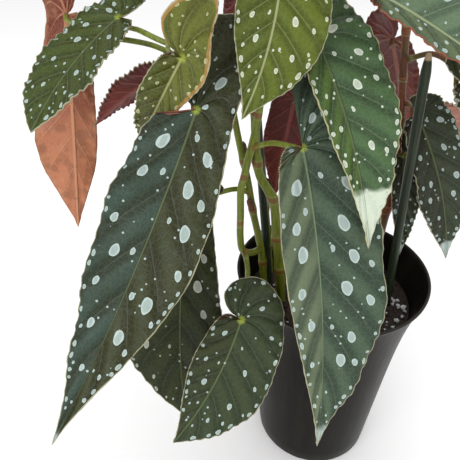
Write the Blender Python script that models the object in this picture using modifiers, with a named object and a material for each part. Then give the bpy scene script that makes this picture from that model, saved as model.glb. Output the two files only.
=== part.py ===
"""A potted begonia with tall jointed canes and spotted angel-wing leaves, in a tall nursery pot.

Metres, +Z up. The origin is the centre of the pot's underside, and the plant leans out over -Y and -X.
Places and sizes of the plant are written in millimetres and turned to metres where they are used.
"""

import math
import random
from dataclasses import dataclass

import bmesh
import bpy
from mathutils import Matrix, Vector

MM = 0.001
GAP = 0.0003

# Pot and soil
POT_HEIGHT = 0.1775
BASE_RADIUS = 0.0475
RIM_RADIUS = 0.070
STRAIGHT_SHARE = 0.66
FLARE_POWER = 6.4
WALL = 0.0014
FLOOR = 0.0030
LIP_HEIGHT = 0.0016
LIP_OVERHANG = 0.0005
FOOT_CHAMFER = (0.0015, 0.0020)
WALL_STEPS = 6
WALL_CROWDING = 1.6
POT_STEPS = 36
DRAIN_HOLES = 6
DRAIN_RADIUS = 0.004
DRAIN_CIRCLE = 0.032
DRAIN_SIDES = 12
SOIL_LEVEL = 0.150
SOIL_STEPS = 26
SOIL_RINGS = 5
SOIL_SIDE_STEPS = 4
SOIL_GAP = 0.0009
SOIL_ROUGHNESS = 0.00096
PERLITE_GRAINS = 20
PERLITE_RADIUS = (0.0013, 0.0026)
PERLITE_CLEARANCE = 0.0015
PERLITE_SINK = 0.15
WALL_CLEARANCE = 0.006
STEM_HOLE = 0.0003

# Leaves and stems
BLADE = 0.0008
BLADE_MERGE = 0.00005
STEM_MERGE = 0.00001
PETIOLE_RUN = 0.006
PETIOLE_GAP = 0.0006
PETIOLE_END = 0.72
PETIOLE_COLLAR = 1.15
SHOOT_RADIUS = 0.0024
CANE_SPACING = 16.0
MIDRIB_START = 0.42
TOOTH = 0.022
WAVE_FADE = 6.0
SINUS = 0.02
SIDE_LAG = 1.7
STEM_SIDES_RESOLUTION = 1
PETIOLE_SPACING = 15.0
NODE_SWELL = 1.28
NODE_HALF_LENGTH = 0.0035
NODE_CLEARANCE = 0.0056
WING_POINTS = 11
SPLINE_POINTS = 8


# Colours
POT_BLACK = (0.018, 0.017, 0.016)
SOIL_BROWN = (0.035, 0.022, 0.015)
STAKE_GREEN = (0.012, 0.035, 0.022)
CANE_GREEN = (0.16, 0.22, 0.03)
DARK_GREEN = (0.03, 0.07, 0.04)
BLUE_GREEN = (0.03, 0.055, 0.055)
GREY_GREEN = (0.10, 0.125, 0.105)
MID_GREEN = (0.07, 0.13, 0.05)
OLIVE = (0.12, 0.15, 0.02)
BROWN_GREEN = (0.045, 0.04, 0.025)
MAROON = (0.10, 0.015, 0.015)
SALMON = (0.38, 0.10, 0.06)


@dataclass
class Leaf:
    """One blade: petiole point and tip in millimetres, and its form in shares of its length.

    The broad side has the long lobe: broad is its width, wide the place of that width, back the lobe's
    length behind the petiole point, cross how far the lobe reaches over the midrib, and shoulder its
    width there. The small side has narrow, small_wide and small_back. taper and small_taper shape the
    wings. fold is in degrees, cup, arch and bow bend the blade, and the margin has waves of height wave.
    hand is 1 with the broad side on the left of the midrib, seen from above with the tip away.
    """

    name: str
    base: tuple
    tip: tuple
    face: tuple
    broad: float = 0.21
    narrow: float = 0.14
    back: float = 0.27
    cross: float = 0.05
    wide: float = 0.35
    taper: float = 1.25
    shoulder: float = 0.9
    small_back: float = 0.02
    small_wide: float = 0.32
    small_taper: float = 1.2
    fold: float = 10.0
    cup: float = 0.3
    arch: float = 0.05
    bow: float = 0.0
    wave: float = 0.012
    waves: float = 5.0
    phase: float = 0.0
    hand: int = 1
    steps: int = 16
    rows: int = 3
    upper: tuple = DARK_GREEN


@dataclass
class Petiole:
    """A leaf stalk: from a point in its cane, through points of its own, to the blade it carries."""

    leaf: str
    through: tuple
    radius: float = 1.7


@dataclass
class Cane:
    """A jointed cane: its line in millimetres, its radii at foot and top, and the heights of its joints."""

    name: str
    line: tuple
    foot: float
    top: float
    joints: tuple
    petioles: tuple
    shoots: tuple = ()


LEAVES = (
    Leaf("leaf_front_left", (-94, -35, 313), (-171, -138, 166), (-0.15, -0.8, 0.55), broad=0.16,
         narrow=0.15, back=0.28, cross=0.085, wide=0.36, taper=1.5, shoulder=0.7, small_back=-0.02,
         small_wide=0.3, fold=8, arch=0.0, bow=0.02, steps=20, waves=7, upper=BLUE_GREEN),
    Leaf("leaf_front_centre", (-35, -35, 291), (-20, -106, 115), (0, -0.85, 0.5), broad=0.195,
         narrow=0.11, back=0.26, cross=0.0, wide=0.42, taper=1.4, small_wide=0.3, arch=0.04, bow=0.03,
         steps=20, waves=6, phase=1.0, upper=GREY_GREEN),
    Leaf("leaf_lower_left", (-101, -12, 243), (-106, -80, 108), (-0.1, -0.9, 0.4), broad=0.19,
         narrow=0.25, wide=0.5, shoulder=0.5, back=0.12, small_back=0.0, small_wide=0.6, bow=-0.03,
         phase=2.0),
    Leaf("leaf_heart", (-69, -71, 193), (-111, -113, 130), (0, -0.8, 0.6), broad=0.36, narrow=0.22,
         back=0.32, cross=0.17, wide=0.40, taper=1.0, small_wide=0.35, fold=4, bow=0.05, upper=BLUE_GREEN,
         steps=15),
    Leaf("leaf_upper_centre", (-31, -22, 347), (1, -70, 246), (0.1, -0.85, 0.5), broad=0.25,
         narrow=0.11, back=0.24, cross=0.03, wide=0.32, small_back=0.03, small_wide=0.2, bow=0.03,
         phase=0.5, upper=MID_GREEN, steps=15),
    Leaf("leaf_top_centre", (-51, -28, 388), (-70, -44, 311), (0.1, -0.85, 0.5), broad=0.33,
         narrow=0.25, wide=0.4, bow=0.05, arch=0.055, phase=1.5, upper=OLIVE),
    Leaf("leaf_top_right", (-6, -34, 371), (86, -47, 315), (0.1, -0.8, 0.6), broad=0.3, narrow=0.09,
         back=0.2, phase=2.5, upper=GREY_GREEN),
    Leaf("leaf_right", (47, 20, 288), (82, -2, 187), (0.15, -0.9, 0.4), broad=0.2, narrow=0.17,
         back=0.12, cross=0.0, small_wide=0.5, bow=0.03, upper=BROWN_GREEN),
    Leaf("leaf_behind_stake", (44, 22, 259), (51, 6, 184), (-0.1, -0.9, 0.3), broad=0.15,
         narrow=0.11, cross=0.02, back=0.2, steps=12, upper=BROWN_GREEN),
    Leaf("leaf_edge_right", (60, -4, 318), (92, -30, 268), (0.3, -0.8, 0.6), broad=0.3, narrow=0.24,
         phase=1.0, steps=13),
    Leaf("leaf_red_right", (67, 46, 281), (110, 80, 242), (0.3, 0.8, 0.5), broad=0.3, narrow=0.24,
         hand=-1, steps=11, upper=SALMON),
    Leaf("leaf_far_left", (-142, 24, 348), (-188, -30, 298), (-0.3, -0.7, 0.6), broad=0.25,
         narrow=0.22, wide=0.55, taper=0.8, small_wide=0.5, small_taper=0.9, bow=0.02, hand=-1,
         steps=18),
    Leaf("leaf_red_left", (-178, 40, 346), (-190, 20, 200), (-0.2, 0.9, -0.1), broad=0.18,
         narrow=0.11, wide=0.55, shoulder=0.45, small_wide=0.55, arch=0.045, upper=SALMON),
    Leaf("leaf_red_top", (-66, 6, 372), (-73, 2, 326), (0.2, 0.9, 0.2), broad=0.26, narrow=0.2,
         back=0.15, steps=8, rows=2, upper=MAROON),
    Leaf("leaf_curled", (-100, -36, 341), (-133, -2, 277), (0.15, -0.85, 0.5), broad=0.15,
         narrow=0.17, shoulder=1.4, back=0.45, cross=0.22, fold=20, steps=14, upper=OLIVE),
    Leaf("leaf_dark_left", (-120, 17, 316), (-162, 5, 287), (-0.5, 0.65, 0.4), broad=0.3, narrow=0.2,
         back=0.15, steps=10, upper=MAROON),
    Leaf("leaf_red_behind", (-31, 45, 290), (-44, 30, 218), (0.1, 0.95, -0.2), broad=0.22,
         narrow=0.2, back=0.15, steps=11, upper=MAROON),
    Leaf("leaf_crown_front", (-26, -8, 432), (2, -88, 404), (0, -0.5, 0.85), hand=-1, steps=13, rows=2),
    Leaf("leaf_crown_left", (-74, 6, 420), (-138, -62, 388), (-0.3, -0.5, 0.8), steps=11, rows=2),
    Leaf("leaf_crown_right", (34, 22, 420), (100, -24, 372), (0.4, -0.4, 0.8), hand=-1, steps=11, rows=2),
    Leaf("leaf_crown_far_left", (-112, 58, 404), (-180, 100, 358), (-0.4, 0.3, 0.85), back=0.24,
         cross=0.02, steps=12, rows=2),
    Leaf("leaf_crown_back", (-8, 84, 436), (18, 150, 366), (0.1, 0.6, 0.8), hand=-1, steps=11, rows=2),
    Leaf("leaf_crown_back_left", (-66, 80, 424), (-96, 150, 350), (-0.2, 0.6, 0.75), steps=11, rows=2),
    Leaf("leaf_crown_back_right", (48, 74, 402), (118, 104, 336), (0.5, 0.4, 0.75), steps=11, rows=2),
    Leaf("leaf_back_centre", (-18, 78, 336), (-4, 132, 226), (0, 0.9, 0.4), hand=-1, steps=14),
    Leaf("leaf_back_right", (40, 80, 322), (78, 116, 226), (0.3, 0.85, 0.4), steps=14),
    Leaf("leaf_back_left", (-78, 66, 322), (-108, 112, 238), (-0.3, 0.85, 0.4), hand=-1, steps=14),
    Leaf("leaf_young_left", (-54, 36, 458), (-78, 22, 494), (-0.5, -0.4, 0.6), back=0.12, fold=24,
         steps=10, rows=2),
    Leaf("leaf_young_right", (-2, 54, 470), (28, 42, 504), (0.4, -0.5, 0.6), back=0.12, fold=24,
         steps=10, rows=2),
)

CANES = (
    Cane("cane_left_front",
         ((-35, -6, 118), (-38, -6, 164), (-43, -4, 207), (-46, -2, 234), (-50, 0, 243),
          (-57, 3, 257), (-60, 7, 291), (-58, 14, 330), (-54, 22, 372), (-48, 30, 412), (-46, 34, 440)),
         3.6, 2.2, (180, 207, 238, 262, 296, 332, 368, 404, 430),
         (Petiole("leaf_upper_centre", ((-57, 17, 345), (-44, 8, 350), (-33, -6, 352))),
          Petiole("leaf_top_centre", ((-53, 23, 378), (-50, 8, 388), (-50, -12, 393))),
          Petiole("leaf_red_top", ((-55, 21, 367), (-57, 10, 374), (-62, 1, 377)), 1.3),
          Petiole("leaf_crown_front", ((-50, 28, 402), (-38, 14, 420), (-28, 2, 428))),
          Petiole("leaf_crown_left", ((-49, 29, 408), (-60, 20, 416), (-70, 12, 418))),
          Petiole("leaf_young_left", ((-46, 34, 434), (-46, 38, 446)), 1.2))),
    Cane("cane_left_back",
         ((-42, 27, 118), (-44, 28, 155), (-48, 30, 200), (-54, 32, 253), (-60, 36, 290), (-66, 42, 330),
          (-72, 48, 370), (-76, 54, 400)),
         3.2, 2.0, (176, 212, 250, 286, 322, 358, 388),
         (Petiole("leaf_crown_far_left", ((-72, 48, 370), (-88, 52, 388), (-102, 54, 398))),
          Petiole("leaf_crown_back_left", ((-75, 53, 394), (-72, 62, 410), (-68, 70, 418))),
          Petiole("leaf_back_left", ((-62, 38, 304), (-68, 48, 316))))),
    Cane("cane_left_side",
         ((-47, -2, 118), (-52, -2, 184), (-56, -2, 208), (-60, 1, 226), (-64, 4, 249),
          (-70, 8, 275), (-77, 12, 310), (-85, 18, 345), (-91, 24, 372)),
         2.9, 1.8, (184, 228, 262, 300, 334, 362),
         (Petiole("leaf_lower_left", ((-62, 3, 240), (-72, -1, 245), (-86, -6, 244))),
          Petiole("leaf_front_left", ((-77, 12, 311), (-86, -2, 318))),
          Petiole("leaf_front_centre", ((-62, -13, 281), (-50, -18, 286))),
          Petiole("leaf_heart", ((-66, -15, 205), (-64, -26, 198), (-65, -44, 197))),
          Petiole("leaf_far_left", ((-79, 13, 320), (-98, 12, 331), (-116, 16, 336), (-132, 24, 341))),
          Petiole("leaf_red_left", ((-74, 11, 298), (-98, 22, 318), (-122, 28, 330), (-150, 27, 336),
                                    (-170, 29, 342))),
          Petiole("leaf_dark_left", ((-72, 9, 288), (-92, 14, 302), (-108, 18, 308)), 1.4),
          Petiole("leaf_curled", ((-83, 16, 336), (-100, 9, 340), (-110, -8, 340), (-104, -26, 337)),
                  1.3)),
         (((-54, -2, 196), (-60, -9, 198), (-67, -15, 204), (-69, -16, 217), (-69, -16, 235),
           (-69, -16, 253), (-67, -15, 262), (-65, -14, 272), (-62, -12, 284), (-59, -9, 300),
           (-57, -5, 324), (-56, -3, 346)),)),
    Cane("cane_right",
         ((29, 9, 118), (31, 11, 150), (37, 18, 187), (42, 26, 225), (43, 31, 255), (41, 34, 282),
          (39, 38, 304), (37, 42, 330), (35, 46, 354), (31, 50, 385), (28, 52, 412)),
         3.4, 2.1, (176, 214, 248, 280, 308, 336, 366, 396),
         (Petiole("leaf_right", ((40, 36, 292), (46, 32, 290))),
          Petiole("leaf_behind_stake", ((43, 31, 252), (43.5, 29, 256))),
          Petiole("leaf_edge_right", ((38, 40, 318), (50, 26, 326), (59, 10, 322))),
          Petiole("leaf_red_right", ((42, 34, 268), (54, 36, 268), (62, 38, 272))),
          Petiole("leaf_top_right", ((36, 44, 342), (22, 20, 356), (6, -8, 364))),
          Petiole("leaf_crown_right", ((32, 49, 378), (34, 40, 400), (34, 30, 414))),
          Petiole("leaf_crown_back_right", ((29, 51, 402), (38, 60, 404))),
          Petiole("leaf_back_right", ((38, 40, 316), (40, 54, 322), (40, 68, 322))))),
    Cane("cane_middle",
         ((6, 24, 118), (6, 27, 155), (5, 34, 210), (2, 40, 260), (-2, 46, 310), (-6, 52, 360),
          (-8, 56, 410), (-6, 57, 450)),
         3.5, 2.1, (178, 216, 254, 292, 330, 368, 404, 434),
         (Petiole("leaf_red_behind", ((0, 43, 284), (-14, 36, 292), (-24, 34, 292))),
          Petiole("leaf_back_centre", ((-3, 48, 322), (-10, 60, 334))),
          Petiole("leaf_crown_back", ((-8, 56, 412), (-8, 68, 426))),
          Petiole("leaf_young_right", ((-6, 57, 444), (-7, 58, 458)), 1.2))),
)

STAKES = (
    ("stake_left", (-41, 14, 112), (-62, 17, 326)),
    ("stake_right", (44.5, -10, 112), (34, -10, 336)),
)
STAKE_RADIUS = 0.0030
STAKE_POINT = 0.010
STAKE_POINT_SHARE = 0.35
STAKE_SIDES = 12


def clear_scene():
    """Empty the scene of whatever the file opened with."""
    for thing in list(bpy.data.objects):
        bpy.data.objects.remove(thing, do_unlink=True)


def new_collection(name):
    group = bpy.data.collections.new(name)
    bpy.context.scene.collection.children.link(group)
    return group


def finish(name, colour, roughness, metallic=0.0):
    """A plain material in the colour of the real piece."""
    material = bpy.data.materials.new(name)
    material.use_nodes = True
    shader = material.node_tree.nodes["Principled BSDF"]
    shader.inputs["Base Color"].default_value = (*colour, 1)
    shader.inputs["Roughness"].default_value = roughness
    shader.inputs["Metallic"].default_value = metallic
    return material


def add_mesh(name, bm, group, material=None):
    """Put a bmesh in a new object in the group."""
    mesh = bpy.data.meshes.new(name)
    bm.to_mesh(mesh)
    bm.free()
    thing = bpy.data.objects.new(name, mesh)
    group.objects.link(thing)
    if material:
        mesh.materials.append(material)
    return thing


def as_cutter(thing):
    thing.hide_render = True
    thing.display_type = "WIRE"
    return thing


def millimetres(point):
    return Vector(point) * MM


def evaluated_mesh(thing):
    """The object's mesh with its modifiers applied."""
    bpy.context.view_layer.update()
    graph = bpy.context.evaluated_depsgraph_get()
    return bpy.data.meshes.new_from_object(thing.evaluated_get(graph))


def apply_modifiers(thing):
    mesh = evaluated_mesh(thing)
    thing.modifiers.clear()
    thing.data = mesh


# Pot

def wall_radius(height):
    """Outside radius of the pot at a height: a straight taper that flares out just under the lip."""
    share = height / POT_HEIGHT
    spread = STRAIGHT_SHARE * share + (1 - STRAIGHT_SHARE) * share**FLARE_POWER
    return BASE_RADIUS + (RIM_RADIUS - BASE_RADIUS) * spread


def pot_profile():
    """Half section from the middle of the floor, up the inside, over the lip, and down the outside."""
    shares = [1 - (1 - i / WALL_STEPS) ** WALL_CROWDING for i in range(WALL_STEPS)]
    heights = [FLOOR + (POT_HEIGHT - FLOOR) * share for share in shares]
    inside = [(wall_radius(z) - WALL, z) for z in heights]
    edge = RIM_RADIUS + LIP_OVERHANG
    lip = [(RIM_RADIUS - WALL, POT_HEIGHT), (edge, POT_HEIGHT), (edge, POT_HEIGHT - LIP_HEIGHT)]
    outside = [(wall_radius(z), z) for z in reversed(heights[1:])]
    inset, rise = FOOT_CHAMFER
    return [(0, FLOOR)] + inside + lip + outside + [(BASE_RADIUS, rise), (BASE_RADIUS - inset, 0), (0, 0)]


def turned(name, profile, group, steps, material=None):
    """A solid of revolution from a half section that starts and ends on the axis."""
    bm = bmesh.new()
    points = [bm.verts.new((x, 0, z)) for x, z in profile]
    for first, second in zip(points, points[1:]):
        bm.edges.new((first, second))
    thing = add_mesh(name, bm, group, material)
    screw = thing.modifiers.new("turn", "SCREW")
    screw.steps = steps
    screw.render_steps = steps
    screw.use_merge_vertices = True
    screw.merge_threshold = STEM_MERGE
    screw.use_normal_calculate = True
    return thing


def build_pot(group, cutters):
    pot = turned("pot", pot_profile(), group, POT_STEPS, finish("black plastic", POT_BLACK, 0.4))
    for index in range(DRAIN_HOLES):
        turn = 2 * math.pi * (index + 0.5) / DRAIN_HOLES
        bm = bmesh.new()
        place = Matrix.Translation((DRAIN_CIRCLE * math.cos(turn), DRAIN_CIRCLE * math.sin(turn), 0))
        bmesh.ops.create_cone(bm, cap_ends=True, segments=DRAIN_SIDES, radius1=DRAIN_RADIUS,
                              radius2=DRAIN_RADIUS, depth=4 * FLOOR, matrix=place)
        as_cutter(add_mesh(f"drain_hole_{index + 1}", bm, cutters))
    cut = pot.modifiers.new("drain holes", "BOOLEAN")
    cut.operand_type = "COLLECTION"
    cut.collection = cutters
    return pot


# Soil

def soil_profile():
    low = FLOOR + GAP
    heights = [low + (SOIL_LEVEL - low) * i / SOIL_SIDE_STEPS for i in range(SOIL_SIDE_STEPS + 1)]
    side = [(wall_radius(z) - WALL - SOIL_GAP, z) for z in reversed(heights)]
    rings = [side[0][0] * i / SOIL_RINGS for i in range(SOIL_RINGS)]
    top = [(radius, SOIL_LEVEL) for radius in rings]
    return top + side + [(0, heights[0])]


def rough_height(x, y):
    """Crumbly soil, from a few crossing waves."""
    waves = math.sin(310 * x + 1.3) * math.cos(270 * y - 0.6) + 0.6 * math.sin(520 * x - 410 * y)
    return SOIL_ROUGHNESS * waves


def perlite_grain(seed, taken):
    """An angular white grain half sunk in the soil, clear of the stems and of the pot's wall."""
    dice = random.Random(seed)
    reach = wall_radius(SOIL_LEVEL) - WALL - WALL_CLEARANCE
    while True:
        x = dice.uniform(-reach, reach)
        y = dice.uniform(-reach, reach)
        size = dice.uniform(*PERLITE_RADIUS)
        near = any(math.hypot(x - a, y - b) < r + size + PERLITE_CLEARANCE for a, b, r in taken)
        if math.hypot(x, y) < reach and not near:
            break
    taken.append((x, y, size))
    bm = bmesh.new()
    bmesh.ops.create_icosphere(bm, subdivisions=1, radius=size)
    for vertex in bm.verts:
        vertex.co *= dice.uniform(0.8, 1.15)
    bmesh.ops.rotate(bm, verts=bm.verts, matrix=Matrix.Rotation(dice.uniform(0, 6.3), 3, "Z"))
    bmesh.ops.translate(bm, verts=bm.verts, vec=(x, y, SOIL_LEVEL + rough_height(x, y) - PERLITE_SINK * size))
    return bm


def stem_at(line, height):
    """Where a line of millimetre points crosses a height in metres."""
    for low, high in zip(line, line[1:]):
        if low[2] * MM <= height <= high[2] * MM:
            share = (height / MM - low[2]) / (high[2] - low[2])
            return millimetres(low).lerp(millimetres(high), share)
    return millimetres(line[-1])


def build_soil(group, cutters, grains):
    """The soil with grains fused in, and plain holes where canes and stakes stand."""
    soil = turned("soil", soil_profile(), group, SOIL_STEPS, finish("potting soil", SOIL_BROWN, 0.95))
    apply_modifiers(soil)
    for vertex in soil.data.vertices:
        if abs(vertex.co.z - SOIL_LEVEL) < 1e-6:
            vertex.co.z += rough_height(vertex.co.x, vertex.co.y)
    stems = [(stem_at(cane.line, SOIL_LEVEL), cane.foot * MM) for cane in CANES]
    stems += [(stem_at((low, high), SOIL_LEVEL), STAKE_RADIUS) for _, low, high in STAKES]
    taken = [(place.x, place.y, radius + 0.001) for place, radius in stems]
    for index in range(PERLITE_GRAINS):
        grain = add_mesh(f"grain_{index + 1}", perlite_grain(index, taken), grains)
        as_cutter(grain)
    join = soil.modifiers.new("grains", "BOOLEAN")
    join.operation = "UNION"
    join.operand_type = "COLLECTION"
    join.collection = grains
    apply_modifiers(soil)
    for thing in list(grains.objects):
        bpy.data.objects.remove(thing, do_unlink=True)
    for cane in CANES:
        line, widths = cane_points(cane)
        line[0] = line[0] - Vector((0, 0, STEM_HOLE))
        as_cutter(tube(f"{cane.name}_hole", line, cane.foot * MM + STEM_HOLE, cutters, widths))
    for name, low, high in STAKES:
        deeper = (low[0], low[1], low[2] - STEM_HOLE / MM)
        as_cutter(rod(f"{name}_hole", deeper, high, STAKE_RADIUS + STEM_HOLE, cutters))
    cut = soil.modifiers.new("stem holes", "BOOLEAN")
    cut.operand_type = "COLLECTION"
    cut.collection = cutters
    return soil


# Stakes

def rod(name, low, high, radius, group, material=None):
    """A straight stake with a blunt point at each end."""
    foot = millimetres(low)
    axis = millimetres(high) - foot
    bm = bmesh.new()
    bmesh.ops.create_cone(bm, cap_ends=True, segments=STAKE_SIDES, radius1=radius, radius2=radius,
                          depth=axis.length - 2 * STAKE_POINT)
    caps = [face for face in bm.faces if len(face.verts) == STAKE_SIDES]
    for face in caps:
        raised = bmesh.ops.extrude_discrete_faces(bm, faces=[face])["faces"][0]
        away = Vector((0, 0, STAKE_POINT if raised.calc_center_median().z > 0 else -STAKE_POINT))
        bmesh.ops.translate(bm, verts=raised.verts, vec=away)
        bmesh.ops.scale(bm, verts=raised.verts, vec=(STAKE_POINT_SHARE, STAKE_POINT_SHARE, 1))
    bmesh.ops.rotate(bm, verts=bm.verts, matrix=axis.to_track_quat("Z", "Y").to_matrix())
    bmesh.ops.translate(bm, verts=bm.verts, vec=foot + axis / 2)
    return add_mesh(name, bm, group, material)


def build_stakes(group):
    coat = finish("green coated stake", STAKE_GREEN, 0.45)
    for name, low, high in STAKES:
        rod(name, low, high, STAKE_RADIUS, group, coat)


# Stems

def smooth_line(points, spacing=9.0):
    """Points along a smooth curve through the given millimetre points, in metres."""
    knots = [Vector(p) for p in points]
    knots = [2 * knots[0] - knots[1]] + knots + [2 * knots[-1] - knots[-2]]
    found = []
    for a, b, c, d in zip(knots, knots[1:], knots[2:], knots[3:]):
        count = max(1, round((c - b).length / spacing))
        for step in range(count):
            t = step / count
            found.append((2 * b + (c - a) * t + (2 * a - 5 * b + 4 * c - d) * t * t
                          + (3 * b - a - 3 * c + d) * t**3) * 0.5 * MM)
    return found + [knots[-2] * MM]


def tube(name, points, radius, group, widths=None, material=None):
    """A round stem as a closed mesh, with the curve that makes it removed again."""
    curve = bpy.data.curves.new(name, "CURVE")
    curve.dimensions = "3D"
    curve.bevel_depth = radius
    curve.bevel_resolution = STEM_SIDES_RESOLUTION
    curve.use_fill_caps = True
    spline = curve.splines.new("POLY")
    spline.points.add(len(points) - 1)
    for index, point in enumerate(points):
        spline.points[index].co = (*point, 1)
        spline.points[index].radius = widths[index] if widths else 1.0
    guide = bpy.data.objects.new(name, curve)
    group.objects.link(guide)
    mesh = evaluated_mesh(guide)
    bpy.data.objects.remove(guide, do_unlink=True)
    bm = bmesh.new()
    bm.from_mesh(mesh)
    bmesh.ops.remove_doubles(bm, verts=bm.verts, dist=STEM_MERGE)
    bmesh.ops.recalc_face_normals(bm, faces=bm.faces)
    return add_mesh(name, bm, group, material)


def cane_points(cane):
    """The cane's line with three close points at each joint, and the width at every point."""
    line = smooth_line(cane.line, CANE_SPACING)
    points = []
    widths = []
    low, high = line[0].z, line[-1].z

    def put(point, swell):
        share = (point.z - low) / (high - low)
        points.append(point)
        widths.append(swell * (1 + (cane.top / cane.foot - 1) * share))

    joints = [height * MM for height in cane.joints]
    for first, second in zip(line, line[1:]):
        if all(abs(first.z - joint) > NODE_CLEARANCE for joint in joints):
            put(first, 1.0)
        for joint in joints:
            if first.z < joint <= second.z:
                for offset, swell in ((-1, 1.0), (0, NODE_SWELL), (1, 0.97)):
                    share = (joint + offset * NODE_HALF_LENGTH - first.z) / (second.z - first.z)
                    put(first.lerp(second, share), swell)
    put(line[-1], 0.8)
    order = sorted(range(len(points)), key=lambda i: points[i].z)
    return [points[i] for i in order], [widths[i] for i in order]


def petiole_points(petiole, leaf):
    """From the cane through the petiole's own points to just behind the blade's petiole point."""
    out = base_normal(leaf)
    end = millimetres(leaf.base) - out * (BLADE + PETIOLE_GAP)
    before = end - out * PETIOLE_RUN
    return smooth_line(list(petiole.through) + [before / MM, end / MM], PETIOLE_SPACING)


def build_cane(cane, group, twigs, material):
    """One cane with its side shoots and petioles fused to it."""
    points, widths = cane_points(cane)
    stem = tube(cane.name, points, cane.foot * MM, group, widths, material)
    blades = {leaf.name: leaf for leaf in LEAVES}
    for index, petiole in enumerate(cane.petioles):
        line = petiole_points(petiole, blades[petiole.leaf])
        widths = [PETIOLE_COLLAR] + [1.0] * (len(line) - 2) + [PETIOLE_END]
        tube(f"{cane.name}_petiole_{index + 1}", line, petiole.radius * MM, twigs, widths)
    for index, shoot in enumerate(cane.shoots):
        tube(f"{cane.name}_shoot_{index + 1}", smooth_line(shoot), SHOOT_RADIUS, twigs)
    join = stem.modifiers.new("petioles", "BOOLEAN")
    join.operation = "UNION"
    join.operand_type = "COLLECTION"
    join.collection = twigs
    apply_modifiers(stem)
    for thing in list(twigs.objects):
        bpy.data.objects.remove(thing, do_unlink=True)
    return stem


# Leaves

def leaf_axes(leaf):
    """Along the leaf, across it towards the broad side, and out of its upper face."""
    along = (Vector(leaf.tip) - Vector(leaf.base)).normalized()
    face = Vector(leaf.face)
    face = (face - along * face.dot(along)).normalized()
    return along, face.cross(along) * leaf.hand, face


def midrib_bend(leaf):
    """The handle that arches and bows the midrib."""
    along, across, face = leaf_axes(leaf)
    base = millimetres(leaf.base)
    tip = millimetres(leaf.tip)
    return (base + tip) / 2 + 2 * (tip - base).length * (leaf.arch * face + leaf.bow * across)


def base_normal(leaf):
    """Out of the upper face at the petiole point."""
    along, across, face = leaf_axes(leaf)
    forward = (midrib_bend(leaf) - millimetres(leaf.base)).normalized()
    return (face - forward * face.dot(forward)).normalized()


def spline_2d(points):
    """A smooth open curve through flat points."""
    knots = [Vector(p) for p in points]
    knots = [2 * knots[0] - knots[1]] + knots + [2 * knots[-1] - knots[-2]]
    found = []
    for a, b, c, d in zip(knots, knots[1:], knots[2:], knots[3:]):
        for step in range(SPLINE_POINTS):
            t = step / SPLINE_POINTS
            found.append(0.5 * (2 * b + (c - a) * t + (2 * a - 5 * b + 4 * c - d) * t * t
                                + (3 * b - a - 3 * c + d) * t**3))
    return found + [knots[-2]]


def margin(leaf, broad_side):
    """One margin from petiole point to tip, in leaf lengths: round the lobe, then a tapering wing."""
    if broad_side:
        back, cross, width, wide = leaf.back, leaf.cross, leaf.broad, leaf.wide
        lobe = [(0, 0), (-0.12 * back, -0.6 * cross), (-0.42 * back, -cross), (-0.8 * back, -0.72 * cross),
                (-back, 0.02 * width), (-0.92 * back, 0.38 * width), (-0.55 * back, 0.72 * width),
                (0, leaf.shoulder * width), (0.5 * wide, 0.5 * (1 + leaf.shoulder) * width + 0.03 * width),
                (wide, width)]
        taper, past_lobe = leaf.taper, 5
    else:
        back, width, wide = leaf.small_back, leaf.narrow, leaf.small_wide
        lobe = [(0, 0), (SINUS - 0.5 * back, 0.16 * width), (0.5 * SINUS - back, 0.42 * width),
                (2 * SINUS - 0.6 * back, 0.68 * width), (0.45 * wide, 0.9 * width), (wide, width)]
        taper, past_lobe = leaf.small_taper, 2
    shares = [step / WING_POINTS for step in range(1, WING_POINTS + 1)]
    wing = [(wide + (1 - wide) * s, width * math.cos(math.pi / 2 * s) ** taper) for s in shares]
    curve = spline_2d(lobe + wing)
    lengths = [0.0]
    for first, second in zip(curve, curve[1:]):
        lengths.append(lengths[-1] + (second - first).length)
    total = lengths[-1]
    level = next(i for i, p in enumerate(curve) if i > past_lobe * SPLINE_POINTS and p.x >= 0.05)
    return curve, [length / total for length in lengths], lengths[level] / total


def along_margin(curve, lengths, share):
    """The point at a share of the margin's length."""
    for index in range(1, len(curve)):
        if lengths[index] >= share:
            span = lengths[index] - lengths[index - 1]
            return curve[index - 1].lerp(curve[index], (share - lengths[index - 1]) / max(span, 1e-9))
    return curve[-1]


def flat_point(u, v, leaf, margins):
    """Flat place of a grid point: u runs from petiole point to tip, v from midrib to margin."""
    curve, lengths, turn = margins[v >= 0]
    start = max(0.0, (u - MIDRIB_START) / (1 - MIDRIB_START))
    if u < MIDRIB_START:
        share = turn * u / MIDRIB_START
    else:
        share = turn + (1 - turn) * start
    edge = along_margin(curve, lengths, share)
    side = 1 if v >= 0 else -1
    return Vector((start, 0)).lerp(Vector((edge.x, side * edge.y)), abs(v))


def blade_point(u, v, leaf, margins, axes):
    """Place in the air of a grid point: arched midrib, folded wings, cupped and waved towards the edge."""
    along, across, face = axes
    base = millimetres(leaf.base)
    tip = millimetres(leaf.tip)
    length = (tip - base).length
    bend = midrib_bend(leaf)
    place = flat_point(u, v, leaf, margins)
    t = max(place.x, 0.0)
    behind = min(place.x, 0.0)
    centre = base * (1 - t) ** 2 + bend * 2 * t * (1 - t) + tip * t * t
    forward = ((bend - base) * (1 - t) + (tip - bend) * t).normalized()
    centre = centre + forward * behind * length
    side = (across - forward * across.dot(forward)).normalized()
    out = forward.cross(side)
    if out.dot(face) < 0:
        out = -out
    fold = math.radians(leaf.fold)
    reach = abs(place.y)
    rise = reach * math.sin(fold) - leaf.cup * reach * reach
    beat = 2 * math.pi * leaf.waves * u + leaf.phase + (0 if v >= 0 else SIDE_LAG)
    rise += leaf.wave * v * v * math.sin(beat) * min(1, WAVE_FADE * u, WAVE_FADE * (1 - u))
    return centre + length * (side * place.y * math.cos(fold) + out * rise)


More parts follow.
